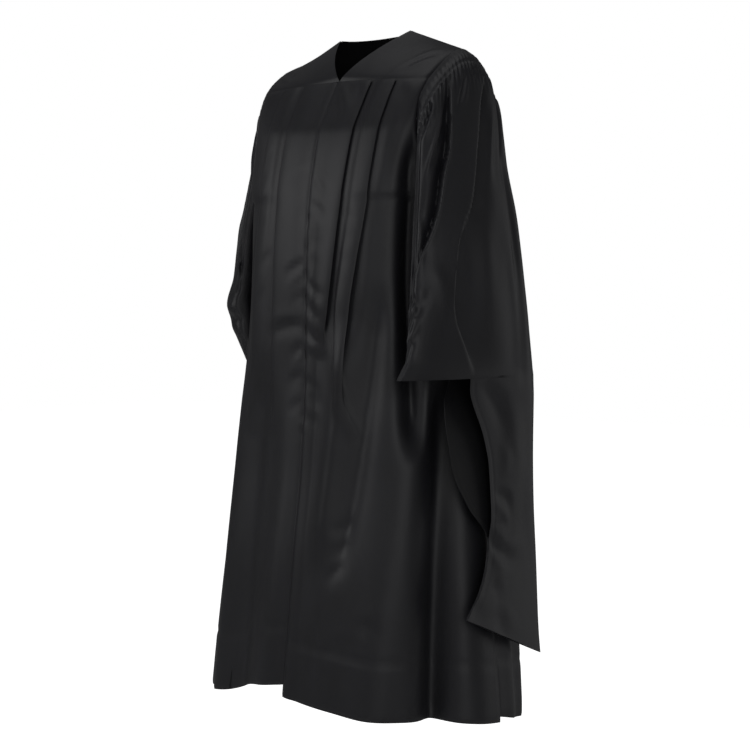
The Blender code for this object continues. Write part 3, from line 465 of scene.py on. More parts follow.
def level_lines(z, back):
    """Level lines round a quarter of the body at heights z: x, y and length along each."""
    z = np.asarray(z, dtype=float)[..., None]
    middle = read(BODY, BODY_COLUMNS, "back_y" if back else "front_y", z)
    square = read(BODY, BODY_COLUMNS, "square", z)
    angle = armhole_angle(z)
    hole_x, hole_y, _ = armhole(180 - angle if back else angle)
    edge_x = np.where(z > UNDERARM_Z, hole_x, read(BODY, BODY_COLUMNS, "half_width", z))
    edge_y = np.where(z > UNDERARM_Z, hole_y, read(BODY, BODY_COLUMNS, "side_y", z))
    t = np.linspace(0, 1, 81)
    x = 3 * (1 - t) ** 2 * t * square * edge_x + 3 * (1 - t) * t * t * edge_x + t ** 3 * edge_x
    y = ((1 - t) ** 3 * middle + 3 * (1 - t) ** 2 * t * middle
         + 3 * (1 - t) * t * t * mix(edge_y, middle, square) + t ** 3 * edge_y)
    steps = np.hypot(np.diff(x, axis=-1), np.diff(y, axis=-1))
    length = np.concatenate((np.zeros(steps.shape[:-1] + (1,)), np.cumsum(steps, axis=-1)), -1)
    return x, y, length


def along(keys, values, where):
    """Values at one place on each of many rising key rows."""
    span = np.clip((keys < where[..., None]).sum(axis=-1) - 1, 0, keys.shape[-1] - 2)[..., None]
    low = np.take_along_axis(keys, span, -1)[..., 0]
    high = np.take_along_axis(keys, span + 1, -1)[..., 0]
    start = np.take_along_axis(values, span, -1)[..., 0]
    end = np.take_along_axis(values, span + 1, -1)[..., 0]
    t = np.clip((where - low) / np.maximum(high - low, 1e-9), 0.0, 1.0)
    return mix(start, end, t)


def on_lines(lines, place, out):
    """Points at distances along level lines, moved out by heights."""
    x, y, length = lines
    near = 0.004
    middle = np.clip(place, near, length[..., -1] - near)
    run_x = along(length, x, middle + near) - along(length, x, middle - near)
    run_y = along(length, y, middle + near) - along(length, y, middle - near)
    run = np.hypot(run_x, run_y)
    turn = np.where(y[..., -1] > y[..., 0], 1.0, -1.0)
    px = np.where(place < 0, place, along(length, x, place))
    py = along(length, y, place)
    return px + out * turn * run_y / run, py - out * turn * run_x / run


def creases(table, place, z):
    """Height of all creases of a table at places and heights of a panel."""
    total = np.zeros(np.broadcast(place, z).shape)
    for from_place, from_z, to_place, to_z, bend, width, height in table:
        start = np.array((from_place, from_z)) * MM
        run = np.array((to_place, to_z)) * MM - start
        size = math.hypot(*run)
        run = run / size
        u = ((place - start[0]) * run[0] + (z - start[1]) * run[1]) / size
        off = -(place - start[0]) * run[1] + (z - start[1]) * run[0]
        bow = np.clip(u, 0, 1)
        off = off - 4 * bend * MM * bow * (1 - bow)
        wide = width * MM * (0.75 + 0.5 * bow)
        core = np.exp(-(off / wide) ** 2) - 0.30 * np.exp(-((off - 2.0 * wide) / wide) ** 2)
        total += height * MM * core * smooth_step(-0.12, 0.30, u) * smooth_step(1.15, 0.55, u)
    return total


def folds(table, place, z):
    total = np.zeros(np.broadcast(place, z).shape)
    for z_from, z_to, place_from, place_to, width, height_from, height_to, fade in table:
        share = np.clip((z - z_from) / (z_to - z_from), 0, 1)
        height = mix(height_from, height_to, share)
        height = height * smooth_step(0, fade, z_from - z) * smooth_step(0, fade, z - z_to)
        total += height * np.exp(-((place - mix(place_from, place_to, share)) / width) ** 2)
    return total


def fall(table, place, z, side):
    """Height of a one-sided fold: up to its line it rises, past it the cloth drops away."""
    line, lift, depth, reach = (read(table, FALL_COLUMNS, name, z) for name in FALL_COLUMNS[1:])
    off = side * (place - line)
    past = smooth_step(-FALL_EDGE, FALL_EDGE, off)
    before = lift * np.exp(np.minimum(off, 0) / LIFT_REACH)
    return mix(before, -depth * np.exp(-(np.maximum(off, 0) / reach) ** 2), past)


def unevenness(count, seed):
    """Repeatable shares from 0 to 1, one for each of a row of puckers."""
    return np.random.default_rng(seed).random(count)


def puckers(where, pitch, seed):
    """A row of uneven small ridges, from -1 to 1, along a seam."""
    step = where / pitch
    cell = np.floor(step).astype(int)
    low = cell.min()
    wild = unevenness(cell.max() - low + 2, seed)
    size = mix(wild[cell - low], wild[cell - low + 1], smooth_step(0, 1, step - cell))
    return (0.35 + 1.1 * size) * np.cos(2 * math.pi * (step + 0.35 * size))


def refine(places, heights, split):
    """Rows of stations joined by smooth curves that keep every station, split times as fine."""
    points = np.stack((places, heights), axis=-1)
    first = 2 * points[:, :1] - points[:, 1:2]
    last = 2 * points[:, -1:] - points[:, -2:-1]
    p = np.concatenate((first, points, last), axis=1)
    chord = np.sqrt(np.maximum(np.linalg.norm(np.diff(p, axis=1), axis=-1), 1e-6))[..., None]
    p0, p1, p2, p3 = p[:, :-3], p[:, 1:-2], p[:, 2:-1], p[:, 3:]
    t01, t12, t23 = chord[:, :-2], chord[:, 1:-1], chord[:, 2:]
    m1 = p2 - p1 + t12 * ((p1 - p0) / t01 - (p2 - p0) / (t01 + t12))
    m2 = p2 - p1 + t12 * ((p3 - p2) / t23 - (p3 - p1) / (t12 + t23))
    parts = []
    for k in range(split):
        s = k / split
        parts.append(p1 + m1 * s + (3 * (p2 - p1) - 2 * m1 - m2) * s * s
                     + (2 * (p1 - p2) + m1 + m2) * s ** 3)
    fine = np.stack(parts, axis=2).reshape(len(p), -1, 2)
    fine = np.concatenate((fine, points[:, -1:]), axis=1)
    return fine[..., 0], fine[..., 1]


def outward(points, wrap=False):
    """Unit normals of a grid of points, rows going down and columns to the wearer's left."""
    if wrap:
        across = np.roll(points, -1, axis=1) - np.roll(points, 1, axis=1)
    else:
        across = np.gradient(points, axis=1)
    normal = np.cross(np.gradient(points, axis=0), across)
    return normal / np.maximum(np.linalg.norm(normal, axis=-1), 1e-9)[..., None]


def lean(points):
    x, z = points[..., 0], points[..., 2]
    drop = LEAN * smooth_step(0, LEAN_WIDTH, -x) * smooth_step(LEAN_FROM_Z, LEAN_FULL_Z, z)
    return points - drop[..., None] * np.array((0, 0, 1.0))


def panel(name, points, quads, uv, attributes, materials, flip=False):
    """A cloth piece from its outer points: both faces, closed rims, UVs in metres."""
    outer = lean(np.asarray(points, dtype=float).reshape(-1, 3))
    quads = np.asarray(quads, dtype=int)
    if flip:
        quads = quads[:, ::-1]
    diagonals = (outer[quads[:, 2]] - outer[quads[:, 0]], outer[quads[:, 3]] - outer[quads[:, 1]])
    face = np.cross(*diagonals)
    normals = np.zeros_like(outer)
    for corner in range(4):
        np.add.at(normals, quads[:, corner], face)
    normals /= np.maximum(np.linalg.norm(normals, axis=1), 1e-12)[:, None]
    count = len(outer)
    inner = outer - CLOTH * normals
    edges = np.stack((quads, np.roll(quads, -1, axis=1)), axis=-1).reshape(-1, 2)
    codes = edges[:, 0] * count + edges[:, 1]
    rim = edges[~np.isin(codes, edges[:, 1] * count + edges[:, 0])]
    rims = np.stack((rim[:, 1], rim[:, 0], rim[:, 0] + count, rim[:, 1] + count), axis=1)
    faces = np.concatenate((quads, quads[:, ::-1] + count, rims))
    mesh = bpy.data.meshes.new(name)
    mesh.from_pydata(np.vstack((outer, inner)).tolist(), [], faces.tolist())
    layer = mesh.uv_layers.new(name="UVMap")
    flat = np.asarray(uv, dtype=float).reshape(-1, 2)
    flat = np.vstack((flat, flat))
    loops = np.zeros(len(mesh.loops), dtype=int)
    mesh.loops.foreach_get("vertex_index", loops)
    layer.data.foreach_set("uv", flat[loops].ravel().astype(np.float32))
    for key, values in attributes.items():
        data = mesh.attributes.new(key, "FLOAT", "POINT").data
        both = np.concatenate((np.ravel(values), np.ravel(values)))
        data.foreach_set("value", both.astype(np.float32))
    for material in materials:
        mesh.materials.append(material)
    index = np.zeros(len(faces), dtype=np.int32)
    index[len(quads):2 * len(quads)] = 1
    mesh.polygons.foreach_set("material_index", index)
    mesh.shade_smooth()
    mesh.set_sharp_from_angle(angle=math.radians(70))
    mesh.update()
    piece = bpy.data.objects.new(name, mesh)
    bpy.context.scene.collection.objects.link(piece)
    return piece


def grid(rows, columns):
    corner = np.arange(rows * columns).reshape(rows, columns)
    return np.stack((corner[:-1, :-1], corner[1:, :-1], corner[1:, 1:], corner[:-1, 1:]),
                    axis=-1).reshape(-1, 4)


def flat_map(points):
    """UVs of a grid in metres: along each row from its start, and down each column."""
    across = np.linalg.norm(np.diff(points, axis=1), axis=-1)
    u = np.concatenate((np.zeros((len(points), 1)), np.cumsum(across, axis=1)), axis=1)
    down = np.linalg.norm(np.diff(points, axis=0), axis=-1).mean(axis=1)
    v = np.concatenate(([0.0], np.cumsum(down)))[:, None] * np.ones_like(u)
    return np.stack((u, -v), axis=-1)


def row_heights(top, bottom):
    """Heights of a panel's rows, closer together near its top seam and its hem."""
    count = int(round((top - bottom) / ROW_STEP))
    even = np.linspace(top, bottom, count + 1)
    extra = np.array((0.0012, 0.0026, 0.0045))
    return np.sort(np.concatenate((even, top - extra, bottom + extra)))[::-1]


def hem_rise(name, row_z, share):
    grown = smooth_step(-0.600, HEM_Z, row_z)
    return read(HEM, HEM_COLUMNS, name, share) * grown


def hem_form(above_hem):
    """The doubled hem: a row of stitches draws the cloth in, and the fold below stands proud."""
    line = np.exp(-((above_hem - HEM_DEPTH) / 0.0030) ** 2)
    band = 0.0005 * smooth_step(HEM_DEPTH + 0.002, HEM_DEPTH - 0.010, above_hem)
    roll = 0.0009 * np.exp(-(above_hem / 0.0035) ** 2)
    return band - 0.0010 * line - roll


def pleat_stations(pleat, z):
    place, closed, overlap, lift, spread = (read(pleat, PLEAT_COLUMNS, name, z)
                                            for name in PLEAT_COLUMNS[1:])
    rise = LIFT_SHARE * np.sqrt(closed)
    return [(place + mix(share * PLEAT_OPEN_WIDTH * spread, overlaps * overlap + past, closed),
             rise * lifts * lift)
            for overlaps, past, lifts, share in PLEAT_POINTS]


def front_points(name, pleats, fold_table, crease_table, edge, fly):
    """Outer points of a front on the wearer's left, its flat places and heights."""
    row_z = row_heights(YOKE_SEAM_Z, HEM_Z)
    length = level_lines(row_z, False)[2][:, -1]
    first, second = (pleat_stations(pleat, row_z) for pleat in pleats)
    stations = []
    for k in range(CENTRE_COLUMNS):
        place = mix(edge, first[0][0], k / CENTRE_COLUMNS)
        rising = smooth_step(FLY_WIDTH, first[0][0], place)
        stations.append((place, mix(fly, first[0][1], rising)))
    stations += first
    for k in range(1, BETWEEN_COLUMNS + 1):
        share = k / (BETWEEN_COLUMNS + 1)
        place = mix(first[-1][0], second[0][0], share)
        stations.append((place, second[0][1] * smooth_step(0, 1, share)))
    stations += second
    for k in range(1, SIDE_COLUMNS + 1):
        stations.append((mix(second[-1][0], length, k / SIDE_COLUMNS), 0.0))
    places = np.stack([np.broadcast_to(s[0], row_z.shape) for s in stations], axis=1)
    heights = np.stack([np.broadcast_to(s[1], row_z.shape) for s in stations], axis=1)
    places, heights = refine(places, heights, COLUMN_SPLIT)
    share = np.minimum(1.0, np.abs(places) / length[:, None])
    fall = YOKE_SEAM_FALL * (1 - smooth_step(0.0, 0.06, YOKE_SEAM_Z - row_z))
    rise = hem_rise(name, row_z[:, None], share)
    z = row_z[:, None] - fall[:, None] * share + rise
    lines = level_lines(z, False)
    at = np.where(places > 0, places * lines[2][..., -1] / length[:, None], places)
    taper = smooth_step(0.0, 0.03, YOKE_SEAM_Z - z)
    side = smooth_step(0.0, 0.012, length[:, None] - places)
    wrinkle = FRONT_CREASE_SHARE * creases(crease_table, places, z)
    wrinkle = wrinkle * smooth_step(0.0, 0.010, YOKE_SEAM_Z - z)
    zip_side = smooth_step(-0.26, -0.31, z) * smooth_step(-0.68, -0.63, z)
    meeting = max(edge, -LEFT_EDGE)
    if fly > 0:
        meeting = edge
    away = places - meeting
    wave = puckers(z, ZIP_PUCKER_PITCH, len(crease_table)) * zip_side
    pucker = ZIP_PUCKER_HEIGHT * wave * np.exp(-(away / ZIP_PUCKER_REACH) ** 2)
    pucker = pucker - EDGE_ROLL * (1 - 0.3 * wave) * np.exp(-(away / EDGE_ROLL_WIDTH) ** 2)
    seam = SEAM_DIP * np.exp(-((YOKE_SEAM_Z - row_z[:, None]) / SEAM_DIP_WIDTH) ** 2)
    hem = hem_form(z - (HEM_Z + read(HEM, HEM_COLUMNS, name, share)))
    bust = BUST_HEIGHT * np.exp(-np.sqrt((z - BUST_Z) ** 2 + BUST_ROUND ** 2) / BUST_REACH)
    wrinkle = wrinkle + bust * smooth_step(length[:, None], length[:, None] * 0.6, places)
    out = heights + (taper * folds(fold_table, places, z) + wrinkle) * side + pucker - seam + hem
    out[:, -1] = 0.0
    x, y = on_lines(lines, at, out)
    return np.stack((x, y, z), axis=-1), places


def mirrored(points):
    return points * np.array((-1.0, 1.0, 1.0))


def front(name, side, pleats, fold_table, crease_table, edge, fly, materials):
    points, places = front_points(name, pleats, fold_table, crease_table, edge, fly)
    rows, columns = places.shape
    uv = flat_map(points)
    if side < 0:
        points = mirrored(points)
    return panel(name + "_satin", points, grid(rows, columns), uv, {}, materials, side < 0)


def back(materials):
    """The back panel: gathers below the yoke that fall as flutes."""
    row_z = row_heights(BACK_YOKE_SEAM_Z - EDGE_GAP, HEM_Z)[:, None]
    count = BACK_FLUTES * BACK_SPLIT + 1
    across = np.linspace(1, -1, count)[None, :]
    share = np.abs(across)
    z = row_z + hem_rise("back", row_z, share)
    lines = level_lines(z, True)
    phase = (1 - across) / 2 * BACK_FLUTES
    cell = np.clip(np.floor(phase).astype(int), 0, BACK_FLUTES - 1)
    depth = mix(FLUTE_DEPTH_TOP, FLUTE_DEPTH_HEM, smooth_step(BACK_YOKE_SEAM_Z, -0.9, z))
    depth = depth * np.array(FLUTE_UNEVEN)[cell]
    calm = smooth_step(0.0, 0.35, 1 - share)
    under = BACK_YOKE_SEAM_Z - row_z
    calm = calm * smooth_step(0.0, 0.012, under)
    out = depth * calm * (0.5 - 0.5 * np.cos(2 * math.pi * phase))
    place = across * lines[2][..., -1]
    out = out + creases(BACK_CREASES, place, z) * smooth_step(0, 0.012, under)
    gather = np.exp(-((under - 0.010) / BACK_SHIRRING_REACH) ** 2) * smooth_step(0, 0.006, under)
    gather = gather * smooth_step(1.0, 0.86, share)
    out = out + BACK_SHIRRING_HEIGHT * puckers(place, BACK_SHIRRING_PITCH, 5) * gather
    out = out - SEAM_DIP * np.exp(-(under / SEAM_DIP_WIDTH) ** 2)
    out = out + hem_form(z - (HEM_Z + read(HEM, HEM_COLUMNS, "back", share)))
    out[:, 0] = 0.0
    out[:, -1] = 0.0
    x, y = on_lines(lines, share * lines[2][..., -1], out)
    points = np.stack((x * np.sign(across), y, z), axis=-1)
    return panel("back_satin", points, grid(len(row_z), count), flat_map(points), {}, materials)


def coons(bottom, top, left, right, u, v):
    """Points of the patch between four edges, each given at its own shares."""
    low, high = bottom[None, :], top[None, :]
    first, last = left[:, None], right[:, None]
    corners = (mix(bottom[0], bottom[-1], u) * (1 - v) + mix(top[0], top[-1], u) * v)
    return mix(low, high, v) + mix(first, last, u) - corners


def yoke_form(points, seams):
    """Seam grooves of a yoke: seams are distances, in shares, with the size of the piece."""
    dip = sum(np.exp(-(distance / SEAM_DIP_WIDTH) ** 2) for distance in seams)
    return points - outward(points) * (SEAM_DIP * dip)[..., None]


def front_yoke(name, side, materials):
    u = np.linspace(0, 1, YOKE_SPLIT)
    v = np.linspace(1, 0, YOKE_SPLIT)
    seam = YOKE_SEAM_Z + EDGE_GAP
    z = seam - YOKE_SEAM_FALL * u
    lines = level_lines(z, False)
    x, y = on_lines(lines, u * lines[2][..., -1], np.zeros_like(u))
    bottom = np.stack((np.maximum(x, EDGE_GAP / 2), y, z), axis=-1)
    tip = np.array([float(value) for value in armhole(90)])
    top = mix(np.array((NECK_POINT[0], -EDGE_GAP / 2, NECK_POINT[2])),
              np.array((tip[0], -EDGE_GAP / 2, tip[2])), u[:, None])
    left = np.stack([mix(bottom[0][k], top[0][k], v ** NECK_CURVE[k]) for k in range(3)], -1)
    start = armhole_angle(seam - YOKE_SEAM_FALL)
    right = np.stack(armhole(mix(start, 90, v)), axis=-1)
    right[:, 1] -= EDGE_GAP / 2
    points = coons(bottom, top, left, right, u[None, :, None], v[:, None, None])
    height = creases(YOKE_CREASES, points[..., 0], points[..., 2])
    inside = smooth_step(0, 0.08, v)[:, None] * smooth_step(1.0, 0.93, v)[:, None]
    inside = inside * smooth_step(1.0, 0.97, u)[None, :] * smooth_step(0, 0.08, u)[None, :]
    points = points + outward(points) * (height * inside)[..., None]
    size = 0.10
    points = yoke_form(points, (v[:, None] * size + 0 * u[None, :],
                                (1 - u)[None, :] * size + 0 * v[:, None]))
    uv = flat_map(points)
    if side < 0:
        points = mirrored(points)
    quads = grid(YOKE_SPLIT, YOKE_SPLIT)
    return panel(name + "_satin", points, quads, uv, {}, materials, side < 0)


def back_yoke(materials):
    columns = 2 * YOKE_SPLIT + 1
    u = np.linspace(0, 1, columns)
    v = np.linspace(1, 0, YOKE_SPLIT)
    across = 1 - 2 * u
    share = np.abs(across)
    seam = BACK_YOKE_SEAM_Z
    lines = level_lines(np.full(columns, seam), True)
    x, y = on_lines(lines, share * lines[2][..., -1], np.zeros_like(u))
    bottom = np.stack((x * np.sign(across), y, np.full(columns, seam)), axis=-1)
    tip = [float(value) for value in armhole(90)]
    neck_share = NECK_POINT[0] / tip[0]
    t = np.clip((share - neck_share) / (1 - neck_share), 0, 1)
    s = np.clip(share / neck_share, 0, 1)
    at_neck = share < neck_share
    top_y = EDGE_GAP / 2 + np.where(at_neck, NAPE[1] * (1 - s * s) ** NAPE_ROUND, 0)
    top_z = np.where(at_neck, mix(NAPE[2], NECK_POINT[2], s), mix(NECK_POINT[2], tip[2], t))
    top = np.stack((across * tip[0], top_y, top_z), axis=-1)
    start = 180 - armhole_angle(seam)
    edge = np.stack(armhole(mix(start, 90, v)), axis=-1)
    edge[:, 1] += EDGE_GAP / 2
    points = coons(bottom, top, edge, mirrored(edge), u[None, :, None], v[:, None, None])
    points = yoke_form(points, (v[:, None] * 0.12 + 0 * u[None, :],
                                (1 - share)[None, :] * 0.16 + 0 * v[:, None]))
    return panel("yoke_back_satin", points, grid(YOKE_SPLIT, columns), flat_map(points), {},
                 materials)


def ring_points(rings, angle, z):
    front_x, front_y, back_x, back_y, outer, inner = (read(rings, RING_COLUMNS, name, z)
                                                      for name in RING_COLUMNS[1:])
    turn = np.radians(angle)
    half = np.hypot(back_x - front_x, back_y - front_y) / 2
    along_x = (back_x - front_x) / (2 * half)
    along_y = (back_y - front_y) / (2 * half)
    step = -half * np.cos(turn)
    depth = np.where(np.sin(turn) > 0, outer, inner) * np.sin(turn)
    return ((front_x + back_x) / 2 + step * along_x + depth * along_y,
            (front_y + back_y) / 2 + step * along_y - depth * along_x)


def valley(valleys, angle):
    total = 0.0
    for at, depth, width in valleys:
        away = (angle - at + 180) % 360 - 180
        total = total - depth * np.exp(-np.abs(away / (VALLEY_NARROW * width)) ** VALLEY_SQUARE)
    return total


def clear_of_body(x, y, z, clearance):
    """Keep sleeve points off the body's side, measured along X."""
    side_y = read(BODY, BODY_COLUMNS, "side_y", z)
    front_x, front_y, _ = level_lines(z, False)
    back_x, back_y, _ = level_lines(z, True)
    at_front = along(front_y, front_x, y)
    at_back = along(back_y[..., ::-1], back_x[..., ::-1], y)
    return np.maximum(x, np.where(y > side_y, at_back, at_front) + clearance)


def tube_points(rings, valleys, angle, z, drop):
    x, y = ring_points(rings, angle, z)
    turn = np.radians(angle)
    depth = valley(valleys, angle) * read(FLUTE_FADE, FLUTE_FADE_COLUMNS, "amount", drop)
    return x + depth * np.sin(turn), y - depth * np.cos(turn) * 0.5


# Points and outward directions round each sleeve where its shirring is sewn down
shirring_lines = {}


def sleeve(name, side, rings, shift, valleys, crease_table, materials, seed):
    """A bag sleeve: shirred head, tube to the hand opening, and the long tail."""
    count = int(round(360 / RING_STEP))
    angle = (np.arange(count) * RING_STEP)[None, :]
    shares = np.concatenate((np.linspace(0, 0.30, 34) ** 1.0, np.linspace(0.32, 1.0, 24)))
    start_x, start_y, start_z = armhole(angle)
    share = shares[:, None]
    z = mix(start_z, HEAD_END_Z, share)
    drop = start_z - z
    goal_x, goal_y = tube_points(rings, valleys, angle, z, drop)
    pull = mix(drop / (drop + HEAD_PUFF), 1.0, smooth_step(0.5, 1.0, share))
    x = mix(start_x, goal_x, pull)
    y = mix(start_y, goal_y, pull)
    room = mix(0.0005, BODY_CLEARANCE, smooth_step(0.0, HEAD_CLEAR_SHARE, share))
    x = np.where(share > 0, clear_of_body(x, y, z, room), x + 0.0005)
    arm_z = np.arange(HEAD_END_Z - SLEEVE_ROW, CUFF_Z, -SLEEVE_ROW)
    arm_z = np.concatenate((arm_z, (CUFF_Z + 0.003, CUFF_Z)))[:, None]
    arm_x, arm_y = tube_points(rings, valleys, angle, arm_z, start_z - arm_z)
    full = arm_z + 0 * arm_x
    arm_x = clear_of_body(arm_x, arm_y, full, BODY_CLEARANCE)
    tube = np.stack((np.concatenate((x, arm_x)), np.concatenate((y, arm_y)),
                     np.concatenate((z, full))), axis=-1)
    below = np.concatenate((drop, start_z - full))
    around = ((angle + 180) % 360 - 180) * 0.00175
    rise = creases(crease_table, around, tube[..., 2]) * smooth_step(0.0, 0.05, below)
    rise = rise + fall(FRONT_FALL, around, tube[..., 2], -1)
    rise = rise + fall(BACK_FALL, around, tube[..., 2], 1)
    rise = rise * smooth_step(CUFF_Z, CUFF_Z + 0.018, tube[..., 2])
    pitch = 360 / SHIRRING_PUCKERS
    wave = puckers(angle, pitch, seed)
    past = below - SHIRRING_LINE
    band = 0.35 * smooth_step(0, 0.006, below) * smooth_step(0.004, -0.004, past)
    beyond = smooth_step(0, 0.006, past) * np.exp(-(past / SHIRRING_REACH) ** 2)
    rise = rise + SHIRRING_HEIGHT * wave * (band + beyond) * smooth_step(0, 0.01, below)
    rise = rise - 0.0014 * np.exp(-(past / 0.0022) ** 2)
    rise = rise - SEAM_DIP * np.exp(-(below / SEAM_DIP_WIDTH) ** 2)
    cuff_line = np.exp(-((tube[..., 2] - CUFF_Z - 0.012) / 0.0018) ** 2)
    rise = rise - 0.0006 * cuff_line
    rise[0] = 0.0
    normals = outward(tube, True)
    tube = tube + normals * rise[..., None]
    line = np.abs(past).argmin(axis=0)
    seam_points, seam_normals = tube[line, np.arange(count)], normals[line, np.arange(count)]
    if side < 0:
        seam_points, seam_normals = mirrored(seam_points), mirrored(seam_normals)
    shirring_lines[name] = (lean(seam_points), seam_normals)
    first = int(round(FRONT_ZONE / RING_STEP))
    final = count - first
    tail_z = np.arange(CUFF_Z - ROW_STEP, TAIL_TIP_Z, -ROW_STEP)
    tail_z = np.concatenate((tail_z, (TAIL_TIP_Z + 0.003, TAIL_TIP_Z)))
    near_join = int(np.abs(tail_z - TAIL_JOIN_Z).argmin())
    tail_z[near_join] = TAIL_JOIN_Z
    values = [read(TAIL, TAIL_COLUMNS, column, tail_z)[:, None] for column in TAIL_COLUMNS[1:]]
    mid_front, mid_back, outer, inner, edge_outer, edge_inner, back_y = values
    tail_angle = (np.arange(first, final + 1) * RING_STEP)[None, :]
    outside = tail_angle <= 180
    base = math.cos(math.radians(FRONT_ZONE))
    share = (base - np.cos(np.radians(tail_angle))) / (base + 1)
    edge = np.where(outside, edge_outer, edge_inner)
    y = mix(edge, back_y, share)
    round_back = np.sqrt(np.maximum(0.0, 1 - share ** 4))
    tip = mix(TAIL_TIP_SHUT, 1.0, smooth_step(0.0, TAIL_TIP_SHARE, share))
    joined = smooth_step(TAIL_JOIN_Z + 0.03, TAIL_JOIN_Z, tail_z)[:, None]
    shut = mix(1.0, tip, joined)
    x = mix(mid_front, mid_back, share) + np.where(outside, outer, -inner) * round_back * shut
    lower = smooth_step(TAIL_JOIN_Z, TAIL_TIP_Z, tail_z)[:, None] * TAIL_BACK_DROP
    tail = np.stack((x + shift[0], y + shift[1], tail_z[:, None] - lower * share), axis=-1)
    ring = np.stack((arm_x[-1:, first:final + 1], arm_y[-1:, first:final + 1]), axis=-1)
    grown = smooth_step(CUFF_Z, TAIL[1][0], tail_z)[:, None, None]
    tail[..., :2] = mix(ring, tail[..., :2], grown)
    flat = np.where(outside, 1, -1) * (0.078 + 0.115 * share)
    rise = creases(crease_table, flat, tail_z[:, None])
    rise = rise * smooth_step(0.0, 0.012, CUFF_Z - tail_z)[:, None]
    rise = rise * smooth_step(1.0, 0.93, share)
    edge_line = np.abs(y - edge)
    rise = rise - 0.0006 * np.exp(-((edge_line - 0.010) / 0.0016) ** 2)
    tail = tail + outward(tail) * rise[..., None]
    rows = len(tube)
    corner = np.arange(rows * count).reshape(rows, count)
    following = np.roll(corner, -1, axis=1)
    quads = [np.stack((corner[:-1], corner[1:], following[1:], following[:-1]), -1).reshape(-1, 4)]
    tail_corner = rows * count + np.arange(tail_z.size * (final + 1 - first)).reshape(tail_z.size, -1)
    hung = np.concatenate((corner[-1:, first:final + 1], tail_corner))
    quads.append(np.stack((hung[:-1, :-1], hung[1:, :-1], hung[1:, 1:], hung[:-1, 1:]),
                          -1).reshape(-1, 4))
    shut_rows = tail_corner[near_join:]
    quads.append(np.stack((shut_rows[:-1, -1], shut_rows[1:, -1], shut_rows[1:, 0],
                           shut_rows[:-1, 0]), -1))
    foot = tail_corner[-1]
    half = len(foot) // 2
    near_side, far_side = foot[:half], foot[::-1][:half]
    quads.append(np.stack((near_side[:-1], far_side[:-1], far_side[1:], near_side[1:]), -1))
    points = np.concatenate((tube.reshape(-1, 3), tail.reshape(-1, 3)))
    v = -np.concatenate((below.ravel(), (start_z[0, first:final + 1][None, :]
                                         - tail_z[:, None]).ravel()))
    u = np.concatenate((np.broadcast_to(around, below.shape).ravel(),
                        np.broadcast_to(tail_angle * 0.00175, (tail_z.size, tail_angle.size)).ravel()))
    if side < 0:
        points = mirrored(points)
    return panel(name + "_satin", points, np.concatenate(quads), np.stack((u, v), -1), {},
                 materials, side < 0)


# ---- Materials

def linear(code):
    """A colour from its sRGB hex code."""
    channels = [int(code[i:i + 2], 16) / 255 for i in (1, 3, 5)]
    return tuple(c / 12.92 if c <= 0.04045 else ((c + 0.055) / 1.055) ** 2.4
                 for c in channels) + (1.0,)


def add_node(tree, kind, settings=None, links=None):
    """A node with its settings, by property or input name, and its links from other nodes."""
    node = tree.nodes.new(kind)
    for key, value in (settings or {}).items():
        if key in node.inputs:
            node.inputs[key].default_value = value
        else:
            setattr(node, key, value)
    for key, source in (links or {}).items():
        tree.links.new(source, node.inputs[key])
    return node


def polyester(name, code, variation, roughness, streak, gloss, slub, thread_height):
    """Woven polyester: threads 0.25 mm apart drawn as 0.9 mm streaks along the warp, broad
    soft unevenness of the surface, and a faint change of shade from one part to another."""
    material = bpy.data.materials.new(name)
    material.use_nodes = True
    tree = material.node_tree
    shader = tree.nodes["Principled BSDF"]
    shader.inputs["Roughness"].default_value = roughness
    shader.inputs["IOR"].default_value = POLYESTER_IOR
    shader.inputs["Anisotropic"].default_value = streak
    shader.inputs["Specular IOR Level"].default_value = gloss
    across = add_node(tree, "ShaderNodeTangent", {"direction_type": "UV_MAP", "uv_map": "UVMap"})
    tree.links.new(across.outputs["Tangent"], shader.inputs["Tangent"])
    flat = add_node(tree, "ShaderNodeUVMap", {"uv_map": "UVMap"})
    threads = add_node(tree, "ShaderNodeMapping", {"Scale": (1100.0, 90.0, 1.0)},
                       {"Vector": flat.outputs["UV"]})
    warp = add_node(tree, "ShaderNodeTexNoise", {"Scale": 1.0, "Detail": 2.0, "Roughness": 0.5},
                    {"Vector": threads.outputs["Vector"]})
    wide = add_node(tree, "ShaderNodeMapping", {"Scale": (26.0, 9.0, 1.0)},
                    {"Vector": flat.outputs["UV"]})
    wave = add_node(tree, "ShaderNodeTexNoise", {"Scale": 1.0, "Detail": 3.0, "Roughness": 0.55},
                    {"Vector": wide.outputs["Vector"]})
    first = add_node(tree, "ShaderNodeBump", {"Strength": 1.0, "Distance": thread_height},
                     {"Height": warp.outputs["Fac"]})
    second = add_node(tree, "ShaderNodeBump", {"Strength": 1.0, "Distance": slub},
                      {"Height": wave.outputs["Fac"], "Normal": first.outputs["Normal"]})
    tree.links.new(second.outputs["Normal"], shader.inputs["Normal"])
    shade = add_node(tree, "ShaderNodeValToRGB", {}, {"Fac": wave.outputs["Fac"]})
    shade.color_ramp.elements[0].position = 0.30
    shade.color_ramp.elements[0].color = linear(code)
    shade.color_ramp.elements[1].position = 0.75
    shade.color_ramp.elements[1].color = linear(variation)
    tree.links.new(shade.outputs["Color"], shader.inputs["Base Color"])
    return material


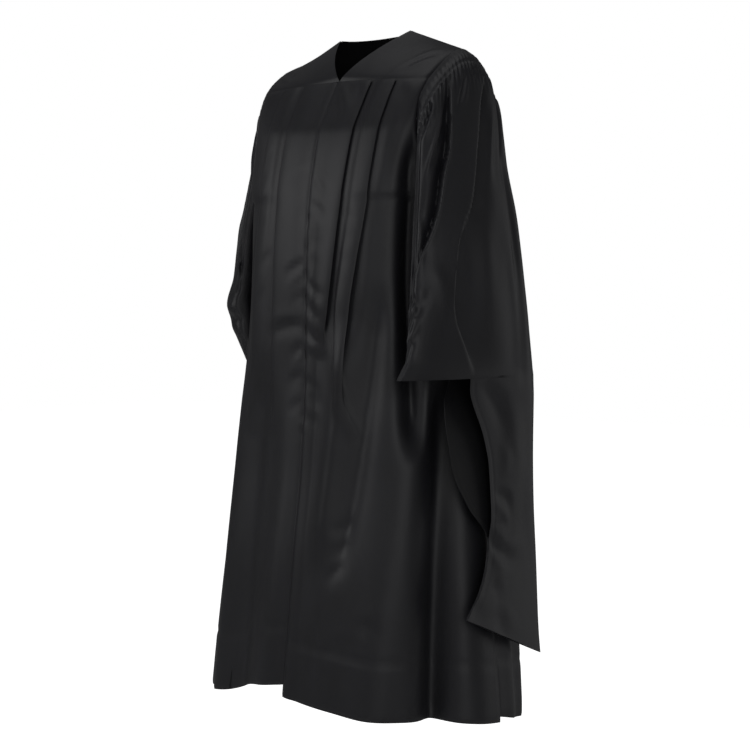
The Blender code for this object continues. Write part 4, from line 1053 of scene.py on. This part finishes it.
def plain_plastic(name, code, variation, roughness):
    """Smooth drawn polyester or nylon, with the shade a little uneven over a few millimetres."""
    material = bpy.data.materials.new(name)
    material.use_nodes = True
    tree = material.node_tree
    shader = tree.nodes["Principled BSDF"]
    shader.inputs["Roughness"].default_value = roughness
    shader.inputs["IOR"].default_value = POLYESTER_IOR
    place = add_node(tree, "ShaderNodeTexCoord")
    patches = add_node(tree, "ShaderNodeTexNoise", {"Scale": 420.0, "Detail": 1.0},
                       {"Vector": place.outputs["Object"]})
    shade = add_node(tree, "ShaderNodeValToRGB", {}, {"Fac": patches.outputs["Fac"]})
    shade.color_ramp.elements[0].position = 0.35
    shade.color_ramp.elements[0].color = linear(code)
    shade.color_ramp.elements[1].position = 0.65
    shade.color_ramp.elements[1].color = linear(variation)
    tree.links.new(shade.outputs["Color"], shader.inputs["Base Color"])
    return material


# Satin's face: warp threads float over many others, so its low lustre spreads across them and
# stays narrow along them. Its back is dull.
satin_face = polyester("polyester_satin_face", "#1a1a1e", "#202025", 0.47, 0.45, 0.50, 0.0005,
                       0.00006)
satin_back = polyester("polyester_satin_back", "#131315", "#18181b", 0.62, 0.20, 0.30, 0.0008,
                       0.00008)
# Zip tape is a plain tight weave with no lustre.
tape = polyester("polyester_zip_tape", "#161618", "#1c1c1f", 0.78, 0.0, 0.25, 0.0003, 0.00020)
pair = (satin_face, satin_back)


# ---- Pieces

pieces = {
    "front_left": front("front_left", 1, LEFT_PLEATS, LEFT_FOLDS, LEFT_CREASES, LEFT_EDGE,
                        FLY_LIFT, pair),
    "front_right": front("front_right", -1, RIGHT_PLEATS, RIGHT_FOLDS, RIGHT_CREASES,
                         RIGHT_EDGE, 0.0, pair),
    "back": back(pair),
    "yoke_front_left": front_yoke("yoke_front_left", 1, pair),
    "yoke_front_right": front_yoke("yoke_front_right", -1, pair),
    "yoke_back": back_yoke(pair),
    "sleeve_left": sleeve("sleeve_left", 1, LEFT_RINGS, LEFT_TAIL_SHIFT, LEFT_VALLEYS,
                          LEFT_ARM_CREASES, pair, 11),
    "sleeve_right": sleeve("sleeve_right", -1, RIGHT_RINGS, RIGHT_TAIL_SHIFT, RIGHT_VALLEYS,
                           RIGHT_ARM_CREASES, pair, 23),
}

SHEET_COLUMNS = ("node", "slot", "width", "length", "area", "held")
SHEETS = (
    ("front_left", "satin_body", 0.50, 1.03, 0.46, "gathered"),
    ("front_right", "satin_body", 0.50, 1.03, 0.46, "gathered"),
    ("back", "satin_body", 1.00, 1.01, 0.80, "gathered"),
    ("yoke_front_left", "satin_yoke", 0.19, 0.17, 0.0215, "draped"),
    ("yoke_front_right", "satin_yoke", 0.19, 0.17, 0.0215, "draped"),
    ("yoke_back", "satin_yoke", 0.42, 0.20, 0.062, "draped"),
    ("sleeve_left", "satin_sleeve", 0.62, 0.96, 0.42, "gathered"),
    ("sleeve_right", "satin_sleeve", 0.62, 0.96, 0.42, "gathered"),
)
for node, slot, width, length, area, held in SHEETS:
    piece = pieces[node]
    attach(piece, "root")
    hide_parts(node)


def zip_tape():
    """The closed zip's tape behind the centre front, a strip of plain weave."""
    z = np.linspace(ZIP_TOP_Z, ZIP_BOTTOM_Z, 120)[:, None]
    place = np.linspace(-ZIP_HALF, ZIP_HALF, 13)[None, :]
    middle = read(BODY, BODY_COLUMNS, "front_y", z)
    points = np.stack(np.broadcast_arrays(place, middle + ZIP_BACK, z), axis=-1)
    return panel("front_zip_tape", points, grid(120, 13), flat_map(points), {}, (tape, tape))


zip_piece = zip_tape()
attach(zip_piece, "root")
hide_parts("front_zip")


def rounded_bar(name, size, rounding):
    """A small bar with all its edges rounded, centred on the origin."""
    bpy.ops.object.select_all(action="DESELECT")
    bpy.ops.mesh.primitive_cube_add(size=1.0)
    bar = bpy.context.object
    bar.name = name
    bpy.ops.object.mode_set(mode="EDIT")
    bpy.ops.mesh.select_all(action="SELECT")
    bpy.ops.transform.resize(value=size)
    bpy.ops.mesh.bevel(offset=rounding, segments=1, affect="EDGES")
    bpy.ops.object.mode_set(mode="OBJECT")
    return bar


def copies(name, model, places, along, out, material):
    """One piece made of copies of a small model, each turned to run along the seam."""
    corners = np.array([tuple(vertex.co) for vertex in model.data.vertices])
    faces = [tuple(face.vertices) for face in model.data.polygons]
    along = along / np.linalg.norm(along, axis=1)[:, None]
    out = out - (out * along).sum(axis=1)[:, None] * along
    out = out / np.linalg.norm(out, axis=1)[:, None]
    turn = np.stack((along, np.cross(out, along), out), axis=1)
    points = places[:, None, :] + np.einsum("vk,nkc->nvc", corners, turn)
    shift = np.arange(len(places)) * len(corners)
    mesh = bpy.data.meshes.new(name)
    all_faces = [tuple(int(step + corner) for corner in face) for step in shift for face in faces]
    mesh.from_pydata(points.reshape(-1, 3).tolist(), [], all_faces)
    mesh.materials.append(material)
    mesh.shade_smooth()
    piece = bpy.data.objects.new(name, mesh)
    bpy.context.scene.collection.objects.link(piece)
    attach(piece, "root")
    return piece


# Spun polyester sewing thread, and the nylon coil of the zip: both are smooth and barely glossy.
thread = plain_plastic("spun_polyester_thread", "#1f1f23", "#2a2a30", 0.55)
coil = plain_plastic("nylon_zip_coil", "#101012", "#18181b", 0.35)

stitch = rounded_bar("stitch", STITCH_SIZE, STITCH_ROUNDING)
for name, (places, out) in shirring_lines.items():
    step = np.roll(places, -1, axis=0) - places
    length = np.concatenate(([0.0], np.cumsum(np.linalg.norm(step, axis=1))))
    count = int(length[-1] / STITCH_PITCH)
    at = np.linspace(0, length[-1], count, endpoint=False)
    ring = np.concatenate((places, places[:1]))
    normals = np.concatenate((out, out[:1]))
    spots = np.stack([np.interp(at, length, ring[:, k]) for k in range(3)], axis=1)
    faced = np.stack([np.interp(at, length, normals[:, k]) for k in range(3)], axis=1)
    runs = np.roll(spots, -1, axis=0) - np.roll(spots, 1, axis=0)
    copies(name + "_shirring_stitches", stitch, spots + STITCH_SIZE[2] * 0.2 * faced, runs, faced,
           thread)
bpy.data.objects.remove(stitch)

tooth = rounded_bar("tooth", TOOTH_SIZE, TOOTH_ROUNDING)
tooth_z = np.arange(ZIP_TOP_Z - 0.004, ZIP_BOTTOM_Z + 0.004, -TOOTH_PITCH)
tooth_x = np.where(np.arange(tooth_z.size) % 2, 1, -1) * TOOTH_SHIFT
tooth_y = read(BODY, BODY_COLUMNS, "front_y", tooth_z) + ZIP_BACK + CLOTH + TOOTH_SIZE[2] * 0.5
spots = np.stack((tooth_x, tooth_y, tooth_z), axis=1)
copies("zip_coil", tooth, spots, np.tile((1.0, 0.0, 0.0), (tooth_z.size, 1)),
       np.tile((0.0, 1.0, 0.0), (tooth_z.size, 1)), coil)
bpy.data.objects.remove(tooth)


# ---- Camera, light and floor

camera = bpy.data.objects.new("camera", bpy.data.cameras.new("camera"))
bpy.context.scene.collection.objects.link(camera)
camera.location = (1.8, -2.4, -0.427)
camera.rotation_euler = (math.radians(90 - 2.62), 0.0, math.radians(36.87))
camera.data.lens = 86.4
bpy.context.scene.camera = camera

floor_mesh = bpy.data.meshes.new("floor")
reach = 9.0
floor_z = -1.36
floor_mesh.from_pydata([(-reach, -reach, floor_z), (reach, -reach, floor_z),
                        (reach, reach, floor_z), (-reach, reach, floor_z)], [], [(0, 1, 2, 3)])
floor = bpy.data.objects.new("floor", floor_mesh)
bpy.context.scene.collection.objects.link(floor)
paint = bpy.data.materials.new("white_floor_paint")
paint.use_nodes = True
paint_shader = paint.node_tree.nodes["Principled BSDF"]
paint_shader.inputs["Base Color"].default_value = linear("#f2f2f2")
paint_shader.inputs["Roughness"].default_value = 0.9
paint_shader.inputs["Emission Color"].default_value = linear("#ffffff")
seen = add_node(paint.node_tree, "ShaderNodeLightPath")
paint.node_tree.links.new(seen.outputs["Is Camera Ray"], paint_shader.inputs["Emission Strength"])
floor_mesh.materials.append(paint)


def soft_light(name, place, aim, size, power):
    data = bpy.data.lights.new(name, "AREA")
    data.shape = "RECTANGLE"
    data.size, data.size_y = size
    data.energy = power
    lamp = bpy.data.objects.new(name, data)
    bpy.context.scene.collection.objects.link(lamp)
    lamp.location = place
    direction = np.array(aim) - np.array(place)
    flat = math.hypot(direction[0], direction[1])
    lamp.rotation_euler = (math.atan2(flat, -direction[2]), 0.0,
                           math.atan2(-direction[0], direction[1]))


LIGHT_COLUMNS = ("name", "place", "aim", "size", "power")
LIGHTS = (
    ("front_softbox", (-1.3, -2.2, 0.45), (0.0, 0.0, -0.25), (2.0, 1.5), 15.0),
    ("near_softbox", (2.6, -2.4, 0.10), (0.1, 0.0, -0.45), (2.2, 1.8), 14.0),
    ("top_softbox", (0.0, -0.3, 2.4), (0.0, 0.0, -0.4), (2.2, 2.2), 9.6),
    ("back_softbox", (2.2, 2.9, -0.10), (0.1, 0.0, -0.5), (2.4, 2.4), 8),
)
for light in LIGHTS:
    soft_light(*light)

# The room is white to the camera, and lights the gown softly as a grey studio does.
world = bpy.data.worlds.new("white_room")
bpy.context.scene.world = world
world.use_nodes = True
room = world.node_tree
backdrop = room.nodes["Background"]
backdrop.inputs["Color"].default_value = linear("#ffffff")
seen = add_node(room, "ShaderNodeLightPath")
level = add_node(room, "ShaderNodeMapRange", {"To Min": 0.10, "To Max": 1.0},
                 {"Value": seen.outputs["Is Camera Ray"]})
room.links.new(level.outputs["Result"], backdrop.inputs["Strength"])
bpy.context.scene.view_settings.view_transform = "Standard"
